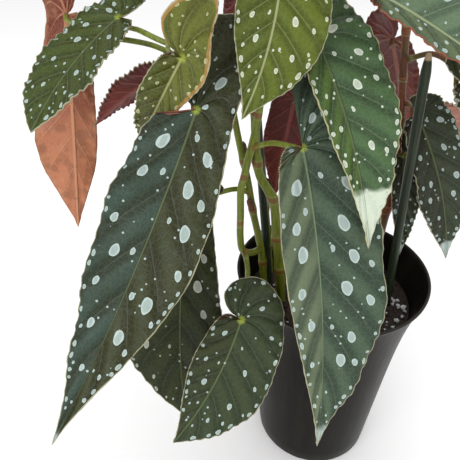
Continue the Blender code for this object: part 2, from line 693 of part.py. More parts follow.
def toothed(v, step):
    """The margin's own rows go in and out, so that its edge is cut in shallow teeth."""
    if abs(v) < 0.999:
        return v
    return v * (1 + TOOTH * (1 if step % 2 else -1))


def build_leaf(leaf, group):
    """A thin closed blade on a grid bent to the leaf's form, with the same triangles on both faces."""
    margins = (margin(leaf, False), margin(leaf, True))
    axes = leaf_axes(leaf)
    bm = bmesh.new()
    bmesh.ops.create_grid(bm, x_segments=leaf.steps, y_segments=2 * leaf.rows, size=1)
    for vertex in bm.verts:
        u = (vertex.co.x + 1) / 2
        v = vertex.co.y
        vertex.co = blade_point(u, toothed(v, round(u * leaf.steps)), leaf, margins, axes)
    bmesh.ops.remove_doubles(bm, verts=bm.verts, dist=BLADE_MERGE)
    bmesh.ops.triangulate(bm, faces=bm.faces)
    middle = sum((face.normal * face.calc_area() for face in bm.faces), Vector())
    if middle.dot(axes[2]) < 0:
        bmesh.ops.reverse_faces(bm, faces=bm.faces)
    blade = add_mesh(leaf.name, bm, group, finish(leaf.name, leaf.upper, 0.45))
    for face in blade.data.polygons:
        face.use_smooth = True
    shell = blade.modifiers.new("blade", "SOLIDIFY")
    shell.thickness = BLADE
    shell.offset = -1
    return blade


def build_begonia():
    """Every piece of the potted begonia."""
    plant = new_collection("potted_begonia")
    drains = new_collection("drain_cutters")
    holes = new_collection("soil_cutters")
    grains = new_collection("perlite")
    twigs = new_collection("twigs")
    build_pot(plant, drains)
    build_soil(plant, holes, grains)
    build_stakes(plant)
    stem_colour = finish("green cane", CANE_GREEN, 0.4)
    for cane in CANES:
        build_cane(cane, plant, twigs, stem_colour)
    for leaf in LEAVES:
        build_leaf(leaf, plant)


clear_scene()
build_begonia()
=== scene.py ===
"""The look of a potted begonia: jointed canes and long silver-spotted leaves in a tall nursery pot.

Metres, +Z up. The forms repeat the plant's own sizes, written in millimetres, and are made finer here.
"""

import logging
import math
import random
from dataclasses import dataclass
from enum import Enum
from typing import Callable

import bmesh
import bpy
from mathutils import Matrix, Vector
from mathutils import noise
from mathutils.geometry import delaunay_2d_cdt


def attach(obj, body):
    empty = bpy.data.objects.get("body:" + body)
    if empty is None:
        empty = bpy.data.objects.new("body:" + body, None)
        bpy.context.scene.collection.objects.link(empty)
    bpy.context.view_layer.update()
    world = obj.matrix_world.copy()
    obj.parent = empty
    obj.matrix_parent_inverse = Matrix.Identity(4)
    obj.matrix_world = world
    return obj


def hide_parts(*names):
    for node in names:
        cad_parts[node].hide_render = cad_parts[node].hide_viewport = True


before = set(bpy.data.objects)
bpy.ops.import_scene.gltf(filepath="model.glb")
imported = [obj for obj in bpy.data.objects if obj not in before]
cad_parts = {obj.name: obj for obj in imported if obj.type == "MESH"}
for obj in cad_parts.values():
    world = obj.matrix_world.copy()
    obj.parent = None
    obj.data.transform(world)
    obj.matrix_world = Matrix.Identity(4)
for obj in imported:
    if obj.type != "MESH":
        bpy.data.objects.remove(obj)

logging.basicConfig(level=logging.INFO, format="%(message)s")
log = logging.getLogger("begonia")

Colour = tuple[float, float, float]
Point = tuple[float, float, float]
Place = tuple[float, float]

MM = 0.001
BODY = "root"
POT_HEIGHT = 0.1775
SOIL_LEVEL = 0.150

# Blades, in metres or in shares of the blade
BLADE = 0.0008
LONG_BLADE = 0.2
MIDRIB_START = 0.42
WAVE_FADE = 6.0
SIDE_LAG = 1.7
SINUS = 0.02
WING_POINTS = 11
SPLINE_POINTS = 8
LOBE_START_TURN = 0.02
LEVEL_REACH = 0.05
TOOTH_ZONE = 0.93
TOOTH_SPAN = 0.07
SCALLOP_DEPTH = 0.010
TOOTH_DEPTH = 0.017
TEETH_PER_SCALLOP = 4.3
TOOTH_FADE = 12
QUILTING = 0.00095
RIPPLE = 0.0011
RIPPLES_PER_WAVE = 5.3
SEED_STEP = 0.37
MESH_LENGTH = 2.0
MESH_WIDTH = 0.35

# Petioles and canes
PETIOLE_GAP = 0.0006
PETIOLE_RUN = 0.006
PETIOLE_END = 0.72
PETIOLE_COLLAR = 0.40
COLLAR_SHARE = 0.10
COLLAR_MARK = 0.007
SHOOT_RADIUS = 0.0024
NODE_HALF_LENGTH = 0.0035
NODE_SWELL = 0.26
JOINT_MARK = 0.0021
LINE_SPACING = 2.2
SHOOT_SPACING = 3.0
CANE_SIDES, SHOOT_SIDES, PETIOLE_SIDES = 20, 16, 14

# Markings
VEINS = 11.0
VEIN_SLANT = 0.10
SPOT_BANDS = 15
SPOT_SIDES = 16
SPOT_MIDDLE = 0.66
SPOT_ROWS = (((0.20, 0.42), (0.57, 0.85), (0.84, 0.4)), ((0.40, 1.0), (0.74, 0.6)))
SPOT_SIZE = 0.0255
SPOT_SHORTEST, SPOT_LONGEST = 0.0009, 0.0050
SPOT_SKIPPED = 0.10
SPOT_LIMIT, BEAD_LIMIT = 0.92, 0.985
SPOT_APART = 0.0008
BEAD_SIDES = 8
BEAD_SPACING = 0.0062
BEAD_INSET = 0.0019
BEAD_SIZE = (0.0008, 0.0012)
BEAD_SKIPPED = 0.12
RING_GROWTH = (-0.00012, 0.00016, 0.0004)
RING_ERROR = 0.0003


# Shader values

def arithmetic(operation: str) -> Callable[..., "Value"]:
    """Make a method of Value.

    Args:
        operation: Blender's name for the step of arithmetic.

    Returns:
        A method that adds that step.
    """

    def method(self: "Value", other: "Number" = 0.0) -> "Value":
        """This value, worked on with another."""
        return self.graph.math(operation, self, other)

    return method


class Value:
    """A shader value that ordinary arithmetic works on."""

    __add__ = arithmetic("ADD")
    __sub__ = arithmetic("SUBTRACT")
    __mul__ = arithmetic("MULTIPLY")
    __truediv__ = arithmetic("DIVIDE")
    __abs__ = arithmetic("ABSOLUTE")
    fraction = arithmetic("FRACT")
    power = arithmetic("POWER")
    most = arithmetic("MAXIMUM")

    def __init__(self, graph: "Graph", socket: bpy.types.NodeSocket) -> None:
        """Keep an output socket and the graph that it is in."""
        self.graph = graph
        self.socket = socket

    def ramp(self, low: float, high: float) -> "Value":
        """A smooth step from 0 at low to 1 at high; low may be the larger."""
        return self.graph.node("ShaderNodeMapRange", {"interpolation_type": "SMOOTHSTEP"},
                               {"Value": self, "From Min": low, "From Max": high})


Number = Value | float
Paint = Value | Colour


def shade(colour: Colour, share: float) -> Colour:
    """A colour made darker or lighter by a factor."""
    return tuple(share * c for c in colour)


class Graph:
    """The node tree of one material, and the colour that its coats have made so far."""

    def __init__(self, name: str, colour: Colour) -> None:
        """Start a material.

        Args:
            name: the material's name.
            colour: the colour under every coat.
        """
        self.material = bpy.data.materials.new(name)
        self.material.use_nodes = True
        self.tree = self.material.node_tree
        self.shader = self.tree.nodes["Principled BSDF"]
        self.colour = colour

    def feed(self, socket: bpy.types.NodeSocket, value: Value | Colour | float) -> None:
        """Link a value to a socket, or set the socket to a plain one.

        Args:
            socket: an input.
            value: a value of this graph, a number or a colour.
        """
        if isinstance(value, Value):
            self.tree.links.new(value.socket, socket)
        elif socket.type == "RGBA" and len(value) == 3:
            socket.default_value = (*value, 1)
        else:
            socket.default_value = value

    def node(self, kind: str, settings: dict | None = None, sockets: dict | None = None,
             output: int = 0) -> Value:
        """Add a node.

        Args:
            kind: Blender's name for it.
            settings: its properties.
            sockets: its inputs, by name or number.
            output: which output is wanted.

        Returns:
            That output.
        """
        made = self.tree.nodes.new(kind)
        for name, value in (settings or {}).items():
            setattr(made, name, value)
        for name, value in (sockets or {}).items():
            self.feed(made.inputs[name], value)
        return Value(self, made.outputs[output])

    def math(self, operation: str, first: Number, second: Number = 0.0) -> Value:
        """One step of arithmetic."""
        return self.node("ShaderNodeMath", {"operation": operation}, {0: first, 1: second})

    def mix(self, factor: Number, first: Paint, second: Paint) -> Value:
        """A colour between two colours."""
        return self.node("ShaderNodeMix", {"data_type": "RGBA"}, {0: factor, 6: first, 7: second}, 2)

    def coat(self, factor: Number, colour: Paint) -> None:
        """Lay a colour over what is there, as far as the factor says."""
        self.colour = self.mix(factor, self.colour, colour)

    def place(self) -> Value:
        """The object's own coordinates."""
        return self.node("ShaderNodeTexCoord", output=3)

    def parts(self, vector: Value) -> tuple[Value, ...]:
        """The three parts of a vector."""
        made = self.tree.nodes.new("ShaderNodeSeparateXYZ")
        self.feed(made.inputs[0], vector)
        return tuple(Value(self, out) for out in made.outputs)

    def joined(self, x: Number, y: Number, z: Number) -> Value:
        """A vector from three values."""
        return self.node("ShaderNodeCombineXYZ", sockets={0: x, 1: y, 2: z})

    def uv(self, name: str) -> tuple[Value, ...]:
        """The two parts of a UV map."""
        return self.parts(self.node("ShaderNodeUVMap", {"uv_map": name}))[:2]

    def attribute(self, name: str) -> Value:
        """A number kept on the mesh's points."""
        return self.node("ShaderNodeAttribute", {"attribute_name": name}, output=2)

    def noise(self, vector: Value, scale: float, detail: float = 3.0, roughness: float = 0.55) -> Value:
        """Cloudy noise from 0 to 1."""
        return self.node("ShaderNodeTexNoise", {}, {"Vector": vector, "Scale": scale, "Detail": detail,
                                                    "Roughness": roughness})

    def cells(self, vector: Value, scale: float, feature: str = "F1", output: int = 0) -> Value:
        """Distances in, or colours of, scattered cells."""
        return self.node("ShaderNodeTexVoronoi", {"feature": feature}, {"Vector": vector, "Scale": scale},
                         output)

    def bump(self, height: Value, distance: float, strength: float) -> None:
        """Put a relief on the surface."""
        normal = self.node("ShaderNodeBump", {}, {"Height": height, "Distance": distance,
                                                  "Strength": strength})
        self.feed(self.shader.inputs["Normal"], normal)

    def finish(self, roughness: Number, **plain: float) -> bpy.types.Material:
        """Feed the shader the colour so far and its roughness, and set its plain values.

        Args:
            roughness: a value or a plain number.
            plain: other sockets of the shader, with _ for each space.

        Returns:
            The finished material.
        """
        self.feed(self.shader.inputs["Base Color"], self.colour)
        self.feed(self.shader.inputs["Roughness"], roughness)
        for name, value in plain.items():
            self.shader.inputs[name.replace("_", " ")].default_value = value
        return self.material


# Finishes

@dataclass
class Sheet:
    """What both sides of a blade are painted from."""

    graph: Graph
    u: Value
    v: Value
    x: Value
    y: Value
    flat: Value
    cloud: Value
    fine: Value

    def network(self) -> tuple[Value, Value]:
        """Distance in metres to the nearest side vein, and 0 on a vein to 1 midway between two."""
        slanted = (self.u - abs(self.v) * VEIN_SLANT) * VEINS + 0.5
        beside = abs(slanted.fraction() - 0.5) / VEINS * self.graph.attribute("stretch")
        return beside, abs(slanted.fraction() - 0.5) * 2


@dataclass(frozen=True)
class LeafFinish:
    """Colours and markings of one kind of blade, upper side and underside."""

    name: str
    # Painted light: broad and narrow colour the two halves of the blade apart, painting the light and shade
    # that falls on each half.
    broad: Colour
    narrow: Colour
    spot: Colour = (0.40, 0.49, 0.46)
    vein: Colour = (0.17, 0.21, 0.12)
    vein_strength: float = 0.35
    midrib: Colour = (0.10, 0.13, 0.055)
    margin: Colour = (0.42, 0.40, 0.26)
    glow: Colour = (0.28, 0.34, 0.05)
    strip_colour: Colour = (0.36, 0.19, 0.05)
    under: Colour = (0.10, 0.016, 0.014)
    # Painted light: the salmon that the underside turns to toward the tip, where light shines through the
    # blade.
    under_lit_tip: Colour = (0.22, 0.05, 0.035)
    under_vein: Colour = (0.35, 0.12, 0.08)
    under_band: Colour = (0.10, 0.016, 0.014)
    roughness: float = 0.40
    tip_patch: float = 0.0
    small_dots: float = 0.5
    blemishes: tuple = ()
    strip: float = 0.0

    def build(self) -> tuple[bpy.types.Material, bpy.types.Material]:
        """The two materials, upper side first."""
        return self.upper_side(), self.under_side()

    def sheet(self, side: str, colour: Colour, cloud: float, fine: float) -> Sheet:
        """Start the material of one side.

        Args:
            side: what the side is called.
            colour: its first colour.
            cloud: scale of the broad unevenness.
            fine: scale of the fine unevenness.

        Returns:
            The values that both sides are painted from.
        """
        graph = Graph(f"{self.name} {side}", colour)
        u, v = graph.uv("grid")
        x, y = graph.uv("flat")
        flat = graph.joined(x, y, graph.attribute("seed"))
        return Sheet(graph, u, v, x, y, flat, graph.noise(flat, cloud, 4.0), graph.noise(flat, fine, 3.0))

    def upper_side(self) -> bpy.types.Material:
        """Dark satin green with silver spots, pale veins and a cream margin; the two halves get their own
        colours as painted light, and the quilting gets painted shade in its vein valleys and a painted
        highlight on its crests.
        """
        sheet = self.sheet("upper side", self.narrow, 45.0, 420.0)
        graph, x, y, cloud, fine = sheet.graph, sheet.x, sheet.y, sheet.cloud, sheet.fine
        edge = graph.attribute("edge")
        # Painted light: the broad and narrow halves are coloured apart to paint how light falls on each,
        # such as a painted sky reflection on the narrow half of the blue and olive leaf.
        broad_side = sheet.v.ramp(-0.02, 0.02)
        graph.coat(broad_side, self.broad)
        graph.coat(cloud.ramp(0.35, 0.75) * 0.45, shade(self.broad, 0.55))
        beside, between = sheet.network()
        swell = between.ramp(0.0, 1.0)
        # Painted shade darkens the quilting's valleys along the side veins, and a painted highlight
        # lightens its crests between them.
        graph.coat(swell.ramp(0.75, 0.1) * 0.60, shade(self.broad, 0.42))
        graph.coat(swell.ramp(0.45, 1.0) * 0.12, tuple(min(1.0, 1.5 * c + 0.01) for c in self.narrow))
        net = graph.cells(sheet.flat, 330.0, "DISTANCE_TO_EDGE")
        graph.coat(net.ramp(0.09, 0.02) * 0.16, self.vein)
        graph.coat(fine.ramp(0.55, 0.8) * 0.12, self.vein)
        side_vein = beside.ramp(0.00055, 0.00015) * abs(sheet.v).ramp(0.98, 0.55)
        graph.coat(side_vein * self.vein_strength, self.vein)
        midrib = (abs(y) + x * 0.0035).ramp(0.0011, 0.0005) * x.ramp(-0.001, 0.002)
        graph.coat(midrib * 0.7, self.midrib)
        spots = self.spots(sheet, edge)
        silver = graph.mix(graph.attribute("core").ramp(0.04, 0.35) * 0.75, self.spot,
                           shade(self.spot, SPOT_MIDDLE))
        silver = graph.mix(fine.ramp(0.45, 0.8) * 0.25, silver, shade(self.spot, 0.6))
        graph.coat(spots, silver)
        if self.tip_patch:
            reach = graph.uv("share")[0] + graph.noise(sheet.flat, 90.0, 2.0) * 0.10
            graph.coat(reach.ramp(1.05 - self.tip_patch, 1.09 - self.tip_patch) * 0.92, silver)
        for at, off, size, colour in self.blemishes:
            oval = (x - at) * (x - at) * 0.4 + (y - off) * (y - off)
            away = graph.math("SQRT", oval) + cloud * 0.012 + fine * 0.002
            graph.coat(away.ramp(size + 0.0020, size + 0.0008), colour)
        if self.strip:
            band = (edge + cloud * 0.002).ramp(0.0036, 0.0024) * broad_side
            graph.coat(band * self.strip, self.strip_colour)
        graph.coat((edge + fine * 0.0004).ramp(0.0009, 0.0004) * 0.8, self.margin)
        graph.coat(graph.math("SQRT", x * x + y * y).ramp(0.0034, 0.0012) * 0.85, self.glow)
        relief = swell.power(0.5) * 0.55 + midrib * 0.5 + net.ramp(0.0, 0.25) * 0.07 + spots * 0.05
        graph.bump(relief + fine * 0.05, 0.0014, 0.9)
        sheen = cloud * 0.16 + (self.roughness - 0.08) + fine * 0.06
        return graph.finish(sheen + spots * 0.05, Specular_IOR_Level=0.20)

    def spots(self, sheet: Sheet, edge: Value) -> Value:
        """The large spots kept on the mesh, joined with small scattered dots.

        Args:
            sheet: what the side is painted from.
            edge: distance to the margin.

        Returns:
            1 in a spot, 0 outside.
        """
        graph = sheet.graph
        large = graph.attribute("spot").ramp(0.35, 0.60)
        dice = graph.parts(graph.cells(sheet.flat, 250.0, output=1))
        chosen = dice[0].ramp(0.86 - 0.25 * self.small_dots, 0.87 - 0.25 * self.small_dots)
        dots = (graph.cells(sheet.flat, 250.0) + sheet.fine * 0.05).ramp(0.22, 0.16)
        return large.most(dots * chosen * edge.ramp(0.0012, 0.0022) * 0.85)

    def under_side(self) -> bpy.types.Material:
        """Smooth maroon, turning to painted lit salmon toward the tip, with raised paler veins."""
        sheet = self.sheet("underside", self.under, 40.0, 380.0)
        graph, x, cloud, sideways = sheet.graph, sheet.x, sheet.cloud, abs(sheet.v)
        share = graph.uv("share")[0]
        # Painted light: the underside's own maroon turns to lit salmon toward the tip, as if light shone
        # through the blade.
        graph.coat((share + cloud * 0.3).ramp(0.38, 0.78), self.under_lit_tip)
        graph.coat(sideways.ramp(0.75, 1.0) * 0.6, self.under_band)
        graph.coat(cloud.ramp(0.4, 0.8) * 0.3, shade(self.under_lit_tip, 0.6))
        patches = graph.noise(sheet.flat, 130.0, 3.0).ramp(0.48, 0.62)
        graph.coat(patches * 0.60, shade(self.under_lit_tip, 0.50))
        side_vein = sheet.network()[0].ramp(0.0010, 0.0003) * sideways.ramp(0.99, 0.6)
        graph.coat(side_vein * 0.5, self.under_vein)
        midrib = (abs(sheet.y) + x * 0.005).ramp(0.0019, 0.0009) * x.ramp(-0.002, 0.002)
        graph.coat(midrib * 0.8, self.under_vein)
        graph.coat((graph.attribute("spot") * 0.28).ramp(0.0, 1.0), self.under_vein)
        net = graph.cells(sheet.flat, 300.0, "DISTANCE_TO_EDGE")
        graph.coat(net.ramp(0.10, 0.02) * 0.12, self.under_vein)
        graph.bump(side_vein * 0.5 + midrib + sheet.fine * 0.08 + net.ramp(0.2, 0.0) * 0.06, 0.0009, 0.8)
        return graph.finish(cloud * 0.1 + 0.38, Specular_IOR_Level=0.4)


@dataclass(frozen=True)
class CaneFinish:
    """Smooth cane with brown rings at its joints and pale flecks."""

    green: Colour = (0.180, 0.230, 0.012)
    dark: Colour = (0.100, 0.125, 0.010)
    ring: Colour = (0.22, 0.075, 0.020)
    fleck: Colour = (0.34, 0.36, 0.15)
    blush: Colour = (0.16, 0.045, 0.015)
    blush_share: float = 0.02

    def build(self) -> bpy.types.Material:
        """The one material of a cane and its petioles."""
        graph = Graph("green cane", self.green)
        place = graph.place()
        x, y, z = graph.parts(place)
        streaks = graph.noise(graph.joined(x * 9.0, y * 9.0, z), 60.0, 4.0)
        cloud = graph.noise(place, 30.0, 3.0)
        flecks = graph.cells(graph.joined(x * 2.2, y * 2.2, z), 420.0)
        graph.coat(streaks.ramp(0.35, 0.75), self.dark)
        graph.coat(cloud.ramp(0.62 - self.blush_share, 0.85 - self.blush_share), self.blush)
        graph.coat(flecks.ramp(0.20, 0.12) * 0.55, self.fleck)
        joint = graph.attribute("joint")
        ring = (joint + streaks * 0.15).ramp(0.45, 0.85)
        graph.coat(ring * 0.8, self.ring)
        graph.coat(joint.ramp(0.12, 0.3) * joint.ramp(0.5, 0.32) * 0.4, self.fleck)
        graph.bump(streaks * 0.35 + ring * 0.4 + flecks.ramp(0.3, 0.1) * 0.2, 0.0006, 0.7)
        return graph.finish(streaks * 0.15 + 0.34, Specular_IOR_Level=0.45)


@dataclass(frozen=True)
class ScaleFinish:
    """Thin dry scale that stays at a joint."""

    name: str = "brown dry scale"
    colour: Colour = (0.17, 0.055, 0.02)
    dark: Colour = (0.07, 0.02, 0.01)

    def build(self) -> bpy.types.Material:
        """Papery, with fine lengthwise lines."""
        graph = Graph(self.name, self.colour)
        x, y, z = graph.parts(graph.place())
        lines = graph.noise(graph.joined(x * 6.0, y * 6.0, z), 150.0, 4.0)
        graph.coat(lines.ramp(0.3, 0.7), self.dark)
        graph.bump(lines, 0.0005, 0.6)
        return graph.finish(lines * 0.2 + 0.5)


@dataclass(frozen=True)
class PotFinish:
    """Satin black plastic with faint upright flow streaks and scuffs."""

    black: Colour = (0.0050, 0.0045, 0.0032)
    worn: Colour = (0.017, 0.014, 0.009)
    scuffed: Colour = (0.05, 0.045, 0.036)
    dusty: Colour = (0.09, 0.08, 0.06)
    # lip is the colour of the painted highlight along the lip.
    lip: Colour = (0.10, 0.095, 0.085)

    def build(self) -> bpy.types.Material:
        """Dark brown-black, a little paler where it is scuffed, with a painted highlight along its lip."""
        graph = Graph("black pot plastic", self.black)
        place = graph.place()
        x, y, z = graph.parts(place)
        streaks = graph.noise(graph.joined(x, y, z * 0.06), 170.0, 4.0, 0.65)
        broad = graph.noise(graph.joined(x, y, z * 0.15), 34.0, 3.0)
        dust = graph.noise(place, 260.0, 5.0, 0.7)
        scuff = graph.noise(graph.joined(x, y, z * 2.5), 55.0, 5.0, 0.75)
        graph.coat(streaks.ramp(0.40, 0.72) * 0.5, self.worn)
        graph.coat(broad.ramp(0.45, 0.75) * 0.4, self.worn)
        graph.coat(scuff.ramp(0.66, 0.76) * 0.12, self.scuffed)
        graph.coat(dust.ramp(0.68, 0.80) * 0.12, self.dusty)
        # Painted highlight: a pale thin line along the lip.
        graph.coat(z.ramp(POT_HEIGHT - 0.0012, POT_HEIGHT - 0.0002) * 0.25, self.lip)
        graph.bump(streaks * 0.7 + dust * 0.12, 0.0005, 0.55)
        return graph.finish(streaks * 0.20 + 0.22 + scuff * 0.06, Specular_IOR_Level=0.06)


@dataclass(frozen=True)
class SoilFinish:
    """Moist dark compost."""

    dark: Colour = (0.010, 0.007, 0.005)
    light: Colour = (0.055, 0.034, 0.022)
    fibre: Colour = (0.16, 0.10, 0.055)
    grain: Colour = (0.20, 0.19, 0.17)

    def build(self) -> bpy.types.Material:
        """Dark crumbs with lighter fibres."""
        graph = Graph("dark compost", self.dark)
        place = graph.place()
        lumps = graph.noise(place, 240.0, 6.0, 0.7)
        grit = graph.cells(place, 900.0)
        graph.coat(lumps.ramp(0.3, 0.75), self.light)
        graph.coat(graph.noise(place, 1200.0, 3.0).ramp(0.66, 0.72) * 0.5, self.fibre)
        graph.coat(grit.ramp(0.18, 0.1) * 0.3, self.grain)
        graph.bump(lumps + grit * 0.4, 0.0022, 1.0)
        return graph.finish(lumps * 0.2 + 0.75)


@dataclass(frozen=True)
class PerliteFinish:
    """White porous perlite with soil in its pits."""

    white: Colour = (0.74, 0.78, 0.78)
    stained: Colour = (0.22, 0.19, 0.15)
    pit: Colour = (0.22, 0.2, 0.18)

    def build(self) -> bpy.types.Material:
        """Bluish white, pitted."""
        graph = Graph("perlite", self.white)
        place = graph.place()
        pits = graph.cells(place, 1500.0)
        stain = graph.noise(place, 500.0, 4.0)
        graph.coat(stain.ramp(0.50, 0.80) * 0.5, self.stained)
        graph.coat(pits.ramp(0.25, 0.1) * 0.5, self.pit)
        graph.bump(pits, 0.0006, 0.9)
        return graph.finish(stain * 0.2 + 0.7)


@dataclass(frozen=True)
class StakeFinish:
    """Nearly black green coating with a worn pale tip."""

    green: Colour = (0.012, 0.020, 0.010)
    drawn: Colour = (0.035, 0.05, 0.026)
    rust: Colour = (0.075, 0.05, 0.03)
    tip: Colour = (0.34, 0.25, 0.15)
    tip_height: float = 0.333

    def build(self) -> bpy.types.Material:
        """Glossy coat with fine lengthwise drag lines."""
        graph = Graph("green coated stake", self.green)
        x, y, z = graph.parts(graph.place())
        drag = graph.noise(graph.joined(x, y, z * 0.03), 900.0, 4.0)
        spots = graph.noise(graph.joined(x, y, z), 140.0, 5.0, 0.7)
        graph.coat(drag.ramp(0.35, 0.7) * 0.7, self.drawn)
        graph.coat(spots.ramp(0.62, 0.72) * 0.6, self.rust)
        graph.coat((z + spots * 0.002).ramp(self.tip_height, self.tip_height + 0.0015), self.tip)
        graph.bump(drag * 0.6 + spots * 0.4, 0.0004, 0.6)
        return graph.finish(drag * 0.15 + 0.24 + spots * 0.1, Specular_IOR_Level=0.22)


class Look(Enum):
    """What kind of blade a leaf is."""

    # Painted light: each look's broad and narrow colours paint how light falls on the two halves; the
    # narrow colour of FRONT is a painted blue sky reflection.
    FRONT = LeafFinish("blue and olive leaf", broad=(0.030, 0.032, 0.006), narrow=(0.028, 0.050, 0.036),
                       vein=(0.10, 0.13, 0.09), tip_patch=0.06, small_dots=0.55)
    CENTRE = LeafFinish("grey green leaf", broad=(0.040, 0.070, 0.042), narrow=(0.105, 0.135, 0.075),
                        vein=(0.14, 0.18, 0.12), midrib=(0.15, 0.21, 0.12), tip_patch=0.10,
                        blemishes=((0.088, 0.0335, 0.0045, (0.20, 0.11, 0.06)),
                                   (0.099, 0.0325, 0.0035, (0.30, 0.20, 0.12))))
    HEART = LeafFinish("heart shaped leaf", broad=(0.030, 0.044, 0.016), narrow=(0.026, 0.034, 0.008),
                       vein=(0.08, 0.11, 0.06), small_dots=0.8)
    DARK = LeafFinish("dark green leaf", broad=(0.018, 0.025, 0.004), narrow=(0.020, 0.027, 0.004),
                      spot=(0.36, 0.40, 0.34), vein=(0.07, 0.09, 0.05), tip_patch=0.05)
    MID = LeafFinish("mid green leaf", broad=(0.050, 0.100, 0.040), narrow=(0.060, 0.105, 0.018),
                     vein=(0.16, 0.21, 0.11), margin=(0.50, 0.46, 0.26), tip_patch=0.30,
                     spot=(0.55, 0.62, 0.50),
                     blemishes=((0.054, -0.010, 0.0016, (0.45, 0.26, 0.07)),
                                (0.060, -0.006, 0.0010, (0.45, 0.26, 0.07))))
    OLIVE = LeafFinish("olive leaf", broad=(0.085, 0.115, 0.008), narrow=(0.066, 0.090, 0.008),
                       vein=(0.19, 0.22, 0.07), midrib=(0.36, 0.38, 0.18), spot=(0.55, 0.60, 0.46),
                       vein_strength=0.5, under=(0.045, 0.022, 0.012), under_lit_tip=(0.09, 0.035, 0.02))
    PALE = LeafFinish("pale grey green leaf", broad=(0.095, 0.150, 0.085), narrow=(0.085, 0.110, 0.05),
                      vein=(0.20, 0.25, 0.17), midrib=(0.30, 0.36, 0.20), margin=(0.32, 0.07, 0.04))
    BROWN = LeafFinish("brown green leaf", broad=(0.032, 0.046, 0.022), narrow=(0.016, 0.020, 0.007),
                       vein=(0.10, 0.11, 0.07), tip_patch=0.14)
    YELLOW = LeafFinish("yellow green leaf", broad=(0.040, 0.060, 0.008), narrow=(0.036, 0.052, 0.006),
                        vein=(0.15, 0.17, 0.06), small_dots=0.7)
    CURLED = LeafFinish("curled young leaf", broad=(0.110, 0.125, 0.016), narrow=(0.060, 0.070, 0.012),
                        vein=(0.24, 0.25, 0.09), midrib=(0.36, 0.36, 0.15), spot=(0.45, 0.46, 0.25),
                        roughness=0.24, small_dots=0.3, strip=0.8)
    SALMON = LeafFinish("salmon backed leaf", broad=(0.040, 0.060, 0.030), narrow=(0.036, 0.052, 0.026),
                        under=(0.13, 0.016, 0.008), under_lit_tip=(0.44, 0.16, 0.075),
                        under_vein=(0.55, 0.26, 0.14), under_band=(0.34, 0.15, 0.06))
    CORAL = LeafFinish("coral backed leaf", broad=(0.040, 0.060, 0.030), narrow=(0.036, 0.052, 0.026),
                       under=(0.42, 0.11, 0.05), under_lit_tip=(0.40, 0.09, 0.05),
                       under_vein=(0.62, 0.36, 0.20), under_band=(0.36, 0.10, 0.05))
    MAROON = LeafFinish("maroon backed leaf", broad=(0.026, 0.040, 0.018), narrow=(0.024, 0.036, 0.016),
                        under=(0.085, 0.012, 0.010), under_lit_tip=(0.16, 0.026, 0.018),
                        under_vein=(0.26, 0.06, 0.045))


class Hand(Enum):
    """Which side of the midrib is the broad one, seen from above with the tip away."""

    LEFT = 1
    RIGHT = -1


@dataclass(frozen=True)
class LeafForm:
    """One blade: petiole point and tip in millimetres, and its form in shares of its length.

    The broad side has the long lobe: broad is its width, wide the place of that width, back the lobe's
    length behind the petiole point, cross how far the lobe reaches over the midrib, and shoulder its
    width there. The small side has narrow, small_wide and small_back. taper and small_taper shape the
    wings. fold is in degrees, cup, arch and bow bend the blade, and the margin has waves of height wave.
    """

    name: str
    base: Point
    tip: Point
    face: Point
    broad: float = 0.21
    narrow: float = 0.14
    back: float = 0.27
    cross: float = 0.05
    wide: float = 0.35
    taper: float = 1.25
    shoulder: float = 0.9
    small_back: float = 0.02
    small_wide: float = 0.32
    small_taper: float = 1.2
    fold: float = 10.0
    cup: float = 0.3
    arch: float = 0.05
    bow: float = 0.0
    wave: float = 0.012
    waves: float = 5.0
    phase: float = 0.0
    hand: Hand = Hand.LEFT
    scallops: int = 16
    look: Look = Look.DARK


@dataclass(frozen=True)
class Petiole:
    """A leaf stalk: from a point in its cane, through points of its own, to the blade it carries."""

    leaf: str
    through: tuple[Point, ...]
    radius: float = 1.7


@dataclass(frozen=True)
class CaneForm:
    """A jointed cane: its line in millimetres, its radii at foot and top, and the heights of its joints."""

    name: str
    line: tuple[Point, ...]
    foot: float
    top: float
    joints: tuple[float, ...]
    petioles: tuple[Petiole, ...]
    shoots: tuple[tuple[Point, ...], ...] = ()


